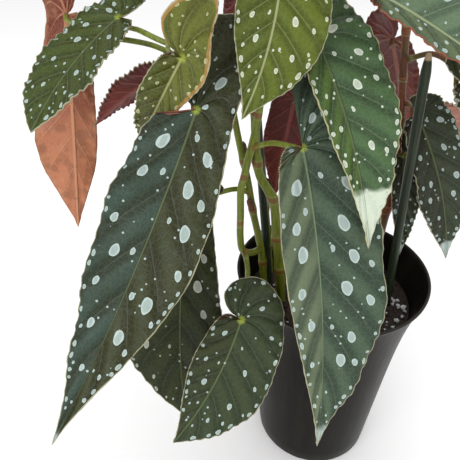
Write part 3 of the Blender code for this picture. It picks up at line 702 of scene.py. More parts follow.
LEAVES = (
    LeafForm("leaf_front_left", (-94, -35, 313), (-171, -138, 166), (-0.15, -0.8, 0.55), broad=0.16,
             narrow=0.15, back=0.28, cross=0.085, wide=0.36, taper=1.5, shoulder=0.7, small_back=-0.02,
             small_wide=0.3, fold=8, arch=0.0, bow=0.02, waves=7, scallops=20, look=Look.FRONT),
    LeafForm("leaf_front_centre", (-35, -35, 291), (-20, -106, 115), (0, -0.85, 0.5), broad=0.195,
             narrow=0.11, back=0.26, cross=0.0, wide=0.42, taper=1.4, small_wide=0.3, arch=0.04,
             bow=0.03, waves=6, phase=1.0, scallops=20, look=Look.CENTRE),
    LeafForm("leaf_lower_left", (-101, -12, 243), (-106, -80, 108), (-0.1, -0.9, 0.4), broad=0.19,
             narrow=0.25, wide=0.5, shoulder=0.5, back=0.12, small_back=0.0, small_wide=0.6, bow=-0.03,
             phase=2.0, scallops=16, look=Look.DARK),
    LeafForm("leaf_heart", (-69, -71, 193), (-111, -113, 130), (0, -0.8, 0.6), broad=0.36, narrow=0.22,
             back=0.32, cross=0.17, wide=0.40, taper=1.0, small_wide=0.35, fold=4, bow=0.05,
             scallops=16, look=Look.HEART),
    LeafForm("leaf_upper_centre", (-31, -22, 347), (1, -70, 246), (0.1, -0.85, 0.5), broad=0.25,
             narrow=0.11, back=0.24, cross=0.03, wide=0.32, small_back=0.03, small_wide=0.2, bow=0.03,
             phase=0.5, scallops=16, look=Look.MID),
    LeafForm("leaf_top_centre", (-51, -28, 388), (-70, -44, 311), (0.1, -0.85, 0.5), broad=0.33,
             narrow=0.25, wide=0.4, bow=0.05, phase=1.5, scallops=16, look=Look.OLIVE),
    LeafForm("leaf_top_right", (-6, -34, 371), (86, -47, 315), (0.1, -0.8, 0.6), broad=0.3, narrow=0.09,
             back=0.2, phase=2.5, scallops=16, look=Look.PALE),
    LeafForm("leaf_right", (47, 20, 288), (82, -2, 187), (0.15, -0.9, 0.4), broad=0.2, narrow=0.17,
             back=0.12, cross=0.0, small_wide=0.5, bow=0.03, scallops=16, look=Look.BROWN),
    LeafForm("leaf_behind_stake", (44, 22, 259), (51, 6, 184), (-0.1, -0.9, 0.3), broad=0.15,
             narrow=0.11, cross=0.02, back=0.2, scallops=12, look=Look.BROWN),
    LeafForm("leaf_edge_right", (60, -4, 318), (92, -30, 268), (0.3, -0.8, 0.6), broad=0.3, narrow=0.24,
             phase=1.0, scallops=13, look=Look.DARK),
    LeafForm("leaf_red_right", (67, 46, 281), (110, 80, 242), (0.3, 0.8, 0.5), broad=0.3, narrow=0.24,
             hand=Hand.RIGHT, scallops=11, look=Look.CORAL),
    LeafForm("leaf_far_left", (-142, 24, 348), (-188, -30, 298), (-0.3, -0.7, 0.6), broad=0.25,
             narrow=0.22, wide=0.55, taper=0.8, small_wide=0.5, small_taper=0.9, bow=0.02,
             hand=Hand.RIGHT, scallops=16, look=Look.YELLOW),
    LeafForm("leaf_red_left", (-178, 40, 346), (-190, 20, 200), (-0.2, 0.9, -0.1), broad=0.18,
             narrow=0.11, wide=0.55, shoulder=0.45, small_wide=0.55, scallops=16, look=Look.SALMON),
    LeafForm("leaf_red_top", (-66, 6, 372), (-73, 2, 326), (0.2, 0.9, 0.2), broad=0.26, narrow=0.2,
             back=0.15, scallops=10, look=Look.MAROON),
    LeafForm("leaf_curled", (-100, -36, 341), (-133, -2, 277), (0.15, -0.85, 0.5), broad=0.15,
             narrow=0.17, shoulder=1.4, back=0.45, cross=0.22, fold=20, scallops=14, look=Look.CURLED),
    LeafForm("leaf_dark_left", (-120, 17, 316), (-162, 5, 287), (-0.5, 0.65, 0.4), broad=0.3,
             narrow=0.2, back=0.15, scallops=12, look=Look.MAROON),
    LeafForm("leaf_red_behind", (-31, 45, 290), (-44, 30, 218), (0.1, 0.95, -0.2), broad=0.22,
             narrow=0.2, back=0.15, scallops=12, look=Look.MAROON),
    LeafForm("leaf_crown_front", (-26, -8, 432), (2, -88, 404), (0, -0.5, 0.85), hand=Hand.RIGHT,
             scallops=11, look=Look.HEART),
    LeafForm("leaf_crown_left", (-74, 6, 420), (-138, -62, 388), (-0.3, -0.5, 0.8), scallops=11,
             look=Look.FRONT),
    LeafForm("leaf_crown_right", (34, 22, 420), (100, -24, 372), (0.4, -0.4, 0.8), hand=Hand.RIGHT,
             scallops=11, look=Look.PALE),
    LeafForm("leaf_crown_far_left", (-112, 58, 404), (-180, 100, 358), (-0.4, 0.3, 0.85), back=0.24,
             cross=0.02, scallops=11, look=Look.YELLOW),
    LeafForm("leaf_crown_back", (-8, 84, 436), (18, 150, 366), (0.1, 0.6, 0.8), hand=Hand.RIGHT,
             scallops=11, look=Look.HEART),
    LeafForm("leaf_crown_back_left", (-66, 80, 424), (-96, 150, 350), (-0.2, 0.6, 0.75), scallops=11,
             look=Look.YELLOW),
    LeafForm("leaf_crown_back_right", (48, 74, 402), (118, 104, 336), (0.5, 0.4, 0.75), scallops=11,
             look=Look.HEART),
    LeafForm("leaf_back_centre", (-18, 78, 336), (-4, 132, 226), (0, 0.9, 0.4), hand=Hand.RIGHT,
             scallops=14, look=Look.HEART),
    LeafForm("leaf_back_right", (40, 80, 322), (78, 116, 226), (0.3, 0.85, 0.4), scallops=14,
             look=Look.FRONT),
    LeafForm("leaf_back_left", (-78, 66, 322), (-108, 112, 238), (-0.3, 0.85, 0.4), hand=Hand.RIGHT,
             scallops=14, look=Look.YELLOW),
    LeafForm("leaf_young_left", (-54, 36, 458), (-78, 22, 494), (-0.5, -0.4, 0.6), back=0.12, fold=24,
             scallops=10, look=Look.CURLED),
    LeafForm("leaf_young_right", (-2, 54, 470), (28, 42, 504), (0.4, -0.5, 0.6), back=0.12, fold=24,
             scallops=10, look=Look.CURLED),
)

CANES = (
    CaneForm("cane_left_front",
         ((-35, -6, 118), (-38, -6, 164), (-43, -4, 207), (-46, -2, 234), (-50, 0, 243),
          (-57, 3, 257), (-60, 7, 291), (-58, 14, 330), (-54, 22, 372), (-48, 30, 412), (-46, 34, 440)),
         3.6, 2.2, (180, 207, 238, 262, 296, 332, 368, 404, 430),
         (Petiole("leaf_upper_centre", ((-57, 17, 345), (-44, 8, 350), (-33, -6, 352))),
          Petiole("leaf_top_centre", ((-53, 23, 378), (-50, 8, 388), (-50, -12, 393))),
          Petiole("leaf_red_top", ((-55, 21, 367), (-57, 10, 374), (-62, 1, 377)), 1.3),
          Petiole("leaf_crown_front", ((-50, 28, 402), (-38, 14, 420), (-28, 2, 428))),
          Petiole("leaf_crown_left", ((-49, 29, 408), (-60, 20, 416), (-70, 12, 418))),
          Petiole("leaf_young_left", ((-46, 34, 434), (-46, 38, 446)), 1.2))),
    CaneForm("cane_left_back",
         ((-42, 27, 118), (-44, 28, 155), (-48, 30, 200), (-54, 32, 253), (-60, 36, 290), (-66, 42, 330),
          (-72, 48, 370), (-76, 54, 400)),
         3.2, 2.0, (176, 212, 250, 286, 322, 358, 388),
         (Petiole("leaf_crown_far_left", ((-72, 48, 370), (-88, 52, 388), (-102, 54, 398))),
          Petiole("leaf_crown_back_left", ((-75, 53, 394), (-72, 62, 410), (-68, 70, 418))),
          Petiole("leaf_back_left", ((-62, 38, 304), (-68, 48, 316))))),
    CaneForm("cane_left_side",
         ((-47, -2, 118), (-52, -2, 184), (-56, -2, 208), (-60, 1, 226), (-64, 4, 249),
          (-70, 8, 275), (-77, 12, 310), (-85, 18, 345), (-91, 24, 372)),
         2.9, 1.8, (184, 228, 262, 300, 334, 362),
         (Petiole("leaf_lower_left", ((-62, 3, 240), (-72, -1, 245), (-86, -6, 244))),
          Petiole("leaf_front_left", ((-77, 12, 311), (-86, -2, 318))),
          Petiole("leaf_front_centre", ((-62, -13, 281), (-50, -18, 286))),
          Petiole("leaf_heart", ((-66, -15, 205), (-64, -26, 198), (-65, -44, 197))),
          Petiole("leaf_far_left", ((-79, 13, 320), (-98, 12, 331), (-116, 16, 336), (-132, 24, 341))),
          Petiole("leaf_red_left", ((-74, 11, 298), (-98, 22, 318), (-122, 28, 330), (-150, 27, 336),
                                    (-170, 29, 342))),
          Petiole("leaf_dark_left", ((-72, 9, 288), (-92, 14, 302), (-108, 18, 308)), 1.4),
          Petiole("leaf_curled", ((-83, 16, 336), (-100, 9, 340), (-110, -8, 340), (-104, -26, 337)),
                  1.3)),
         (((-54, -2, 196), (-60, -9, 198), (-67, -15, 204), (-69, -16, 217), (-69, -16, 235),
           (-69, -16, 253), (-67, -15, 262), (-65, -14, 272), (-62, -12, 284), (-59, -9, 300),
           (-57, -5, 324), (-56, -3, 346)),)),
    CaneForm("cane_right",
         ((29, 9, 118), (31, 11, 150), (37, 18, 187), (42, 26, 225), (43, 31, 255), (41, 34, 282),
          (39, 38, 304), (37, 42, 330), (35, 46, 354), (31, 50, 385), (28, 52, 412)),
         3.4, 2.1, (176, 214, 248, 280, 308, 336, 366, 396),
         (Petiole("leaf_right", ((40, 36, 292), (46, 32, 290))),
          Petiole("leaf_behind_stake", ((43, 31, 252), (43.5, 29, 256))),
          Petiole("leaf_edge_right", ((38, 40, 318), (50, 26, 326), (59, 10, 322))),
          Petiole("leaf_red_right", ((42, 34, 268), (54, 36, 268), (62, 38, 272))),
          Petiole("leaf_top_right", ((36, 44, 342), (22, 20, 356), (6, -8, 364))),
          Petiole("leaf_crown_right", ((32, 49, 378), (34, 40, 400), (34, 30, 414))),
          Petiole("leaf_crown_back_right", ((29, 51, 402), (38, 60, 404))),
          Petiole("leaf_back_right", ((38, 40, 316), (40, 54, 322), (40, 68, 322))))),
    CaneForm("cane_middle",
         ((6, 24, 118), (6, 27, 155), (5, 34, 210), (2, 40, 260), (-2, 46, 310), (-6, 52, 360),
          (-8, 56, 410), (-6, 57, 450)),
         3.5, 2.1, (178, 216, 254, 292, 330, 368, 404, 434),
         (Petiole("leaf_red_behind", ((0, 43, 284), (-14, 36, 292), (-24, 34, 292))),
          Petiole("leaf_back_centre", ((-3, 48, 322), (-10, 60, 334))),
          Petiole("leaf_crown_back", ((-8, 56, 412), (-8, 68, 426))),
          Petiole("leaf_young_right", ((-6, 57, 444), (-7, 58, 458)), 1.2))),
)


class Finishes:
    """Every material, made once and shared."""

    def __init__(self) -> None:
        """Make the materials that every plant has."""
        self.leaves: dict[Look, tuple[bpy.types.Material, bpy.types.Material]] = {}
        self.pot = PotFinish().build()
        self.soil = SoilFinish().build()
        self.perlite = PerliteFinish().build()
        self.stake = StakeFinish().build()
        self.green = CaneFinish().build()
        self.red = CaneFinish(green=(0.10, 0.085, 0.012), dark=(0.05, 0.025, 0.008),
                              blush_share=0.30).build()

    def leaf(self, look: Look) -> tuple[bpy.types.Material, bpy.types.Material]:
        """Upper side and underside of a kind of blade."""
        if look not in self.leaves:
            self.leaves[look] = look.value.build()
        return self.leaves[look]

    def cane(self, name: str) -> bpy.types.Material:
        """Green, or redder on the right and in the middle."""
        return self.red if name in ("cane_right", "cane_middle") else self.green


# Mesh helpers

def millimetres(point: Point) -> Vector:
    """A point in metres from one in millimetres."""
    return Vector(point) * MM


def rounded(points: list, count: Callable[[Vector, Vector], int]) -> list[Vector]:
    """A smooth curve through some points.

    Args:
        points: what it goes through.
        count: gives the number of steps between two neighbours.

    Returns:
        Points along the curve.
    """
    knots = [Vector(p) for p in points]
    knots = [2 * knots[0] - knots[1]] + knots + [2 * knots[-1] - knots[-2]]
    found = []
    for a, b, c, d in zip(knots, knots[1:], knots[2:], knots[3:]):
        steps = count(b, c)
        for step in range(steps):
            t = step / steps
            found.append((2 * b + (c - a) * t + (2 * a - 5 * b + 4 * c - d) * t * t
                          + (3 * b - a - 3 * c + d) * t**3) * 0.5)
    return found + [knots[-2]]


def smooth_line(points: list | tuple, spacing: float) -> list[Vector]:
    """Points in metres along a smooth curve through millimetre points, about spacing millimetres apart."""
    return [point * MM for point in rounded(points, lambda a, b: max(1, round((b - a).length / spacing)))]


def linked(name: str, data: bpy.types.ID) -> bpy.types.Object:
    """A new object in the scene."""
    thing = bpy.data.objects.new(name, data)
    bpy.context.scene.collection.objects.link(thing)
    return thing


def meshed(name: str, bm: bmesh.types.BMesh) -> bpy.types.Mesh:
    """A mesh from a bmesh, which is freed."""
    mesh = bpy.data.meshes.new(name)
    bm.to_mesh(mesh)
    bm.free()
    return mesh


def stored(name: str, bm: bmesh.types.BMesh, materials: list | tuple,
           stands_for: str | None = None) -> bpy.types.Object:
    """Put a bmesh in the scene as a finished piece.

    Args:
        name: the piece's name.
        bm: its mesh, which is freed.
        materials: its materials, in slot order.
        stands_for: the plain node that it replaces, if any.

    Returns:
        The new object.
    """
    mesh = meshed(name, bm)
    for material in materials:
        mesh.materials.append(material)
    for face in mesh.polygons:
        face.use_smooth = True
    thing = linked(name, mesh)
    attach(thing, BODY)
    if stands_for:
        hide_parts(stands_for)
    log.info("%s: %d faces", name, len(mesh.polygons))
    return thing


def thickened(piece: bpy.types.Object, thickness: float, offset: float) -> bpy.types.Modifier:
    """Give a thin sheet its thickness; offset -1 grows it behind the sheet and 0 to both sides."""
    shell = piece.modifiers.new("thickness", "SOLIDIFY")
    shell.thickness = thickness
    shell.offset = offset
    return shell


def turned(profile: list[Place], steps: int) -> bmesh.types.BMesh:
    """A closed solid of revolution.

    Args:
        profile: the half section, which starts and ends on the axis.
        steps: how many flat sides it has.

    Returns:
        The solid.
    """
    bm = bmesh.new()
    points = [bm.verts.new((x, 0, z)) for x, z in profile]
    edges = [bm.edges.new(pair) for pair in zip(points, points[1:])]
    bmesh.ops.spin(bm, geom=points + edges, cent=(0, 0, 0), axis=(0, 0, 1), angle=2 * math.pi, steps=steps,
                   use_merge=True)
    bmesh.ops.remove_doubles(bm, verts=bm.verts, dist=1e-6)
    bmesh.ops.recalc_face_normals(bm, faces=bm.faces)
    return bm


def bridge(bm: bmesh.types.BMesh, first: list, second: list, around: bool) -> None:
    """Join two rows of points with quads.

    Args:
        bm: the mesh.
        first: one row.
        second: the next row.
        around: whether the rows are closed rings.
    """
    count = len(first)
    for k in range(count if around else count - 1):
        after = (k + 1) % count
        bm.faces.new((first[k], first[after], second[after], second[k]))


def sweep(bm: bmesh.types.BMesh, points: list[Vector], radii: list[float], sides: int) -> None:
    """Add a round tube with rounded ends to a mesh.

    Args:
        bm: the mesh that it is added to.
        points: the tube's middle line, in metres.
        radii: one radius for each point.
        sides: how many sides the tube has.
    """
    across = (points[1] - points[0]).normalized().orthogonal().normalized()
    turns = [2 * math.pi * k / sides for k in range(sides)]
    rings = []
    for index, (point, radius) in enumerate(zip(points, radii)):
        low = points[max(0, index - 1)]
        high = points[min(len(points) - 1, index + 1)]
        ahead = (high - low).normalized()
        across = (across - ahead * across.dot(ahead)).normalized()
        over = ahead.cross(across)
        rings.append([bm.verts.new(point + (across * math.cos(t) + over * math.sin(t)) * radius)
                      for t in turns])
    for first, second in zip(rings, rings[1:]):
        bridge(bm, first, second, True)
    ends = ((rings[0][::-1], points[0], points[1], radii[0]),
            (rings[-1], points[-1], points[-2], radii[-1]))
    for ring, end, before, radius in ends:
        tip = bm.verts.new(end + (end - before).normalized() * radius * 0.45)
        for k in range(sides):
            bm.faces.new((ring[k], ring[(k + 1) % sides], tip))


# Leaves

class Margin:
    """One margin from petiole point to tip, in leaf lengths: round the lobe, then a tapering wing."""

    def __init__(self, form: LeafForm, broad_side: bool) -> None:
        """Draw the margin.

        Args:
            form: the blade's form.
            broad_side: whether it is the side with the long lobe.
        """
        lobe, wide, width, taper, past_lobe = self.lobe(form, broad_side)
        shares = [step / WING_POINTS for step in range(1, WING_POINTS + 1)]
        wing = [(wide + (1 - wide) * s, width * math.cos(math.pi / 2 * s) ** taper) for s in shares]
        self.curve = rounded(lobe + wing, lambda a, b: SPLINE_POINTS)
        lengths = [0.0]
        for first, second in zip(self.curve, self.curve[1:]):
            lengths.append(lengths[-1] + (second - first).length)
        self.run = lengths[-1]
        self.shares = [length / self.run for length in lengths]
        level = next(i for i, p in enumerate(self.curve)
                     if i > past_lobe * SPLINE_POINTS and p.x >= LEVEL_REACH)
        self.turn = self.shares[level]
        turns = [math.atan2(p.y, p.x) % (2 * math.pi) for p in self.curve[1:level]]
        last = max(i for i, turn in enumerate(turns) if turn > max(turns) - LOBE_START_TURN)
        self.start = self.shares[last + 1]

    def lobe(self, form: LeafForm, broad_side: bool) -> tuple[list[Place], float, float, float, int]:
        """The margin's part before the wing.

        Args:
            form: the blade's form.
            broad_side: whether it is the side with the long lobe.

        Returns:
            Its points, the wing's start and width, its taper, and how many points the lobe takes.
        """
        if not broad_side:
            back, width, wide = form.small_back, form.narrow, form.small_wide
            points = [(0, 0), (0.38 * (0.5 * SINUS - back), 0.16 * width),
                      (0.5 * SINUS - back, 0.42 * width), (2 * SINUS - 0.6 * back, 0.68 * width),
                      (0.45 * wide, 0.9 * width), (wide, width)]
            return points, wide, width, form.small_taper, 2
        back, cross, width, wide = form.back, form.cross, form.broad, form.wide
        points = [(0, 0), (-0.12 * back, -0.6 * cross), (-0.42 * back, -cross),
                  (-0.8 * back, -0.72 * cross), (-back, 0.02 * width), (-0.92 * back, 0.38 * width),
                  (-0.55 * back, 0.72 * width), (0, form.shoulder * width),
                  (0.5 * wide, 0.5 * (1 + form.shoulder) * width + 0.03 * width), (wide, width)]
        return points, wide, width, form.taper, 5

    def at(self, share: float) -> Vector:
        """Find a point of the margin.

        Args:
            share: how far along its length, from 0 to 1.

        Returns:
            The point, in leaf lengths.
        """
        low, high = 0, len(self.shares) - 1
        while high - low > 1:
            middle = (low + high) // 2
            if self.shares[middle] < share:
                low = middle
            else:
                high = middle
        span = self.shares[high] - self.shares[low]
        return self.curve[low].lerp(self.curve[high], (share - self.shares[low]) / max(span, 1e-9))


@dataclass
class Spot:
    """A large silver oval or a small bead: its place on the leaf's grid, and its half axes in metres."""

    u: float
    v: float
    long: float
    short: float
    bead: bool = False


def covers(ring: list[Place], u: float, v: float) -> bool:
    """Whether a grid place lies inside a ring."""
    inside = False
    for (u1, v1), (u2, v2) in zip(ring, ring[1:] + ring[:1]):
        if (v1 > v) != (v2 > v) and u < (u2 - u1) * (v - v1) / (v2 - v1) + u1:
            inside = not inside
    return inside


@dataclass
class Blade:
    """One thin leaf blade with its lobes, waved toothed margin, veins in relief and silver ovals.

    steps is how many rows its grid has from petiole point to tip, and rows how many from midrib to margin.
    """

    form: LeafForm
    seed: int
    steps: int
    rows: int

    def __post_init__(self) -> None:
        """Work out how the blade lies."""
        form = self.form
        self.dice = random.Random(self.seed)
        self.base = millimetres(form.base)
        self.tip = millimetres(form.tip)
        self.length = (self.tip - self.base).length
        self.along = (self.tip - self.base).normalized()
        face = Vector(form.face)
        self.face = (face - self.along * face.dot(self.along)).normalized()
        self.across = self.face.cross(self.along) * form.hand.value
        bend = 2 * self.length * (form.arch * self.face + form.bow * self.across)
        self.bend = (self.base + self.tip) / 2 + bend
        self.margins = (Margin(form, False), Margin(form, True))

    def flat(self, u: float, v: float) -> Vector:
        """Find a place of the grid on the flat blade.

        Args:
            u: from petiole point to tip, 0 to 1.
            v: from midrib to margin, 0 to 1 on the broad side and 0 to -1 on the narrow one.

        Returns:
            The place, in leaf lengths.
        """
        line = self.margins[v >= 0]
        start = max(0.0, (u - MIDRIB_START) / (1 - MIDRIB_START))
        if u < MIDRIB_START:
            share = line.start + (line.turn - line.start) * u / MIDRIB_START
        else:
            share = line.turn + (1 - line.turn) * start
        edge = line.at(share)
        side = 1 if v >= 0 else -1
        return Vector((start, 0)).lerp(Vector((edge.x, side * edge.y)), abs(v))

    def spread(self, u: float, v: float) -> Vector:
        """Flat place in metres."""
        return self.flat(u, v) * self.length

    def toothed(self, u: float, v: float) -> float:
        """Cut the margin in shallow scallops and fine teeth.

        Args:
            u: from petiole point to tip, 0 to 1.
            v: from midrib to margin, 0 to 1 on the broad side and 0 to -1 on the narrow one.

        Returns:
            v, moved in or out near the margin.
        """
        reach = abs(v)
        if reach < TOOTH_ZONE:
            return v
        beat = math.cos(math.pi * u * self.form.scallops)
        fine = (u * self.form.scallops * TEETH_PER_SCALLOP + SEED_STEP * self.seed) % 1.0
        uneven = 0.55 + 0.45 * math.sin(u * 47 + self.seed)
        tooth = -SCALLOP_DEPTH * beat + TOOTH_DEPTH * uneven * (0.5 - fine)
        fade = min(1.0, TOOTH_FADE * u, TOOTH_FADE * (1 - u))
        return v * (1 + tooth * fade * (reach - TOOTH_ZONE) / TOOTH_SPAN)

    def relief(self, u: float, v: float) -> float:
        """Height of the quilting between the side veins, in metres."""
        slanted = ((u - VEIN_SLANT * abs(v)) * VEINS + 0.5) % 1.0
        between = min(1.0, 2.4 * abs(slanted - 0.5))
        window = min(1.0, 5 * abs(v)) * min(1.0, 4 * (1 - abs(v))) * min(1.0, 8 * u, 5 * (1 - u))
        return QUILTING * (between**0.7 - 0.5) * window * self.length / LONG_BLADE

    def point(self, u: float, v: float) -> Vector:
        """Find a place in the air: arched midrib, folded wings, cupped and waved towards the edge.

        Args:
            u: from petiole point to tip, 0 to 1.
            v: from midrib to margin, 0 to 1 on the broad side and 0 to -1 on the narrow one.

        Returns:
            The place, in metres.
        """
        form = self.form
        place = self.flat(u, self.toothed(u, v))
        t = max(place.x, 0.0)
        centre = self.base * (1 - t) ** 2 + self.bend * 2 * t * (1 - t) + self.tip * t * t
        forward = ((self.bend - self.base) * (1 - t) + (self.tip - self.bend) * t).normalized()
        centre = centre + forward * min(place.x, 0.0) * self.length
        side = (self.across - forward * self.across.dot(forward)).normalized()
        out = forward.cross(side)
        if out.dot(self.face) < 0:
            out = -out
        fold = math.radians(form.fold)
        reach = abs(place.y)
        beat = 2 * math.pi * form.waves * u + form.phase + (0 if v >= 0 else SIDE_LAG)
        fade = min(1, WAVE_FADE * u, WAVE_FADE * (1 - u))
        rise = reach * math.sin(fold) - form.cup * reach * reach
        rise += form.wave * v * v * math.sin(beat) * fade
        ripple = RIPPLE * v**4 * math.sin(RIPPLES_PER_WAVE * beat + self.seed) * fade
        return centre + self.length * (side * place.y * math.cos(fold) + out * rise) + out * (
            self.relief(u, v) + ripple)

    def spot_list(self) -> list[Spot]:
        """Rows of large ovals between the veins, largest half way out, then the beads of the margins."""
        dice = self.dice
        spots = []
        bands = max(7, round(SPOT_BANDS * (self.length / LONG_BLADE) ** 0.5))
        for side in (-1, 1):
            for band in range(1, bands):
                for v, size in SPOT_ROWS[(band + (side > 0)) % 2]:
                    u = (band + dice.uniform(-0.22, 0.22)) / bands
                    v = side * (v + dice.uniform(-0.04, 0.04))
                    if dice.random() < SPOT_SKIPPED:
                        continue
                    room = (self.flat(u, side).y * side) * self.length
                    far = min(1.0, 0.30 + 2.4 * min(u, 1 - u)) * min(1.0, room / 0.020)
                    long = SPOT_SIZE * self.length * size * far * dice.uniform(0.85, 1.12)
                    long = max(SPOT_SHORTEST, min(long, SPOT_LONGEST))
                    spots.append(Spot(u, v, long, long * dice.uniform(0.58, 0.72)))
        return spots + self.beads()

    def beads(self) -> list[Spot]:
        """A row of small silver beads just inside each margin."""
        dice = self.dice
        found = []
        for side in (-1, 1):
            line = self.margins[side > 0]
            count = max(8, round(line.run * self.length / BEAD_SPACING))
            for index in range(1, count):
                share = (index + dice.uniform(-0.25, 0.25)) / count
                if share < line.turn:
                    u = MIDRIB_START * max(0.0, share - line.start) / (line.turn - line.start)
                else:
                    u = MIDRIB_START + (1 - MIDRIB_START) * (share - line.turn) / (1 - line.turn)
                reach = (self.flat(u, side) - self.flat(u, 0)).length * self.length
                inset = BEAD_INSET * dice.uniform(0.85, 1.2)
                if reach < 3.2 * inset or dice.random() < BEAD_SKIPPED:
                    continue
                short = dice.uniform(*BEAD_SIZE)
                long = short * dice.uniform(1.1, 2.0)
                found.append(Spot(u, side * (1 - inset / reach), long, short, True))
        return found

    def outline(self, spot: Spot, grow: float) -> list[Place]:
        """A ring about a spot, found on the grid by a few steps of Newton's method.

        Args:
            spot: the oval or bead.
            grow: how far the ring stands off its edge, in metres.

        Returns:
            Grid places, or nothing where the ring would leave the blade.
        """
        step_u, step_v = 0.004, 0.02 * (1 if spot.v > 0 else -1)
        here = self.flat(spot.u, spot.v)
        by_u = (self.flat(spot.u + step_u, spot.v) - here) / step_u * self.length
        by_v = (self.flat(spot.u, spot.v + step_v) - here) / step_v * self.length
        area = by_u.x * by_v.y - by_u.y * by_v.x
        if abs(area) < 1e-9:
            return []
        ray = by_u.normalized() if spot.bead else here.normalized()
        sides, limit = (BEAD_SIDES, BEAD_LIMIT) if spot.bead else (SPOT_SIDES, SPOT_LIMIT)
        ring = []
        for index in range(sides):
            turn = 2 * math.pi * index / sides
            uneven = 1 + 0.05 * math.sin(3 * turn + spot.u * 90) + 0.03 * math.sin(5 * turn + spot.v * 50)
            along = (spot.long * uneven + grow) * math.cos(turn)
            beside = (spot.short * uneven + grow) * math.sin(turn)
            wanted = here * self.length + Vector((ray.x * along - ray.y * beside,
                                                  ray.y * along + ray.x * beside))
            u, v = spot.u, spot.v
            for _ in range(3):
                off = wanted - self.spread(u, v)
                u += (off.x * by_v.y - off.y * by_v.x) / area
                v += (by_u.x * off.y - by_u.y * off.x) / area
                if not 0.015 < u < 0.985 or not 0.03 < abs(v) < limit or v * spot.v < 0:
                    return []
            if (wanted - self.spread(u, v)).length > RING_ERROR:
                return []
            ring.append((u, v))
        return ring

    def kept_spots(self) -> list[tuple[Spot, list[list[Place]], Place, Place]]:
        """The spots that fit: each with its three rings, and the lowest and highest place of the last."""
        kept = []
        for spot in self.spot_list():
            rings = [self.outline(spot, grow) for grow in RING_GROWTH]
            here = self.spread(spot.u, spot.v)
            gaps = ((here - self.spread(other.u, other.v)).length - 1.05 * (spot.long + other.long)
                    for other, *_ in kept)
            if not all(rings) or any(gap < SPOT_APART for gap in gaps):
                continue
            low, high = (tuple(pick(axis) for axis in zip(*rings[2])) for pick in (min, max))
            kept.append((spot, rings, low, high))
        return kept

    def layout(self) -> tuple[list[Place], list[float], list[tuple[int, int]], set[int]]:
        """Lay out the blade's points.

        Returns:
            Every grid place, its share of silver, the edges that keep the ovals crisp, and the numbers of
            the ovals' middles.
        """
        kept = self.kept_spots()
        places, silver, edges, middles = [], [], [], set()
        for step in range(self.steps + 1):
            for row in range(-self.rows, self.rows + 1):
                u, v = step / self.steps, row / self.rows
                held = any(low[0] < u < high[0] and low[1] < v < high[1] and covers(rings[2], u, v)
                           for _, rings, low, high in kept)
                if not held:
                    places.append((u, v))
                    silver.append(0.0)
        for spot, rings, _, _ in kept:
            middles.add(len(places))
            places.append((spot.u, spot.v))
            silver.append(1.0)
            for ring, value in zip(rings, (1.0, 0.0)):
                first = len(places)
                places.extend(ring)
                silver.extend([value] * len(ring))
                edges.extend((first + k, first + (k + 1) % len(ring)) for k in range(len(ring)))
        return places, silver, edges, middles

    def build(self, finishes: Finishes) -> None:
        """Put the finished blade in place of its plain node, in its own materials.

        Args:
            finishes: the plant's materials.
        """
        places, silver, edges, middles = self.layout()
        sheet = [Vector((u * MESH_LENGTH, v * MESH_WIDTH)) for u, v in places]
        points, _, faces, origin, _, _ = delaunay_2d_cdt(sheet, edges, [], 0, 1e-7, True)
        bm = bmesh.new()
        layers = [bm.verts.layers.float.new(name) for name in ("spot", "core", "edge", "stretch", "seed")]
        maps = [bm.loops.layers.uv.new(name) for name in ("grid", "flat", "share")]
        corners = []
        for place, source in zip(points, origin):
            u = min(1.0, max(0.0, place.x / MESH_LENGTH))
            v = min(1.0, max(-1.0, place.y / MESH_WIDTH))
            vertex = bm.verts.new(self.point(u, v))
            here = self.spread(u, v)
            rim = self.spread(u, 1.0 if v >= 0 else -1.0)
            ahead = self.spread(min(1.0, u + 0.01), v)
            values = (silver[source[0]] if source else 0.0,
                      1.0 if source and source[0] in middles else 0.0,
                      (rim - here).length,
                      (ahead - here).length / max(1e-6, min(1.0, u + 0.01) - u),
                      SEED_STEP * self.seed)
            for layer, value in zip(layers, values):
                vertex[layer] = value
            corners.append((vertex, ((u, v), here, (here.x / self.length, v))))
        for face in faces:
            made = bm.faces.new([corners[k][0] for k in face])
            for loop, k in zip(made.loops, face):
                for layer, place in zip(maps, corners[k][1]):
                    loop[layer].uv = place
        bmesh.ops.remove_doubles(bm, verts=bm.verts, dist=0.00003)
        bmesh.ops.dissolve_degenerate(bm, edges=bm.edges, dist=1e-6)
        facing = sum((face.normal * face.calc_area() for face in bm.faces), Vector())
        if facing.dot(self.face) < 0:
            bmesh.ops.reverse_faces(bm, faces=bm.faces)
        blade = stored(self.form.name.replace("leaf_", "blade_"), bm, finishes.leaf(self.form.look),
                       self.form.name)
        shell = thickened(blade, BLADE, -1)
        shell.material_offset = 1
        shell.material_offset_rim = 0


# Canes

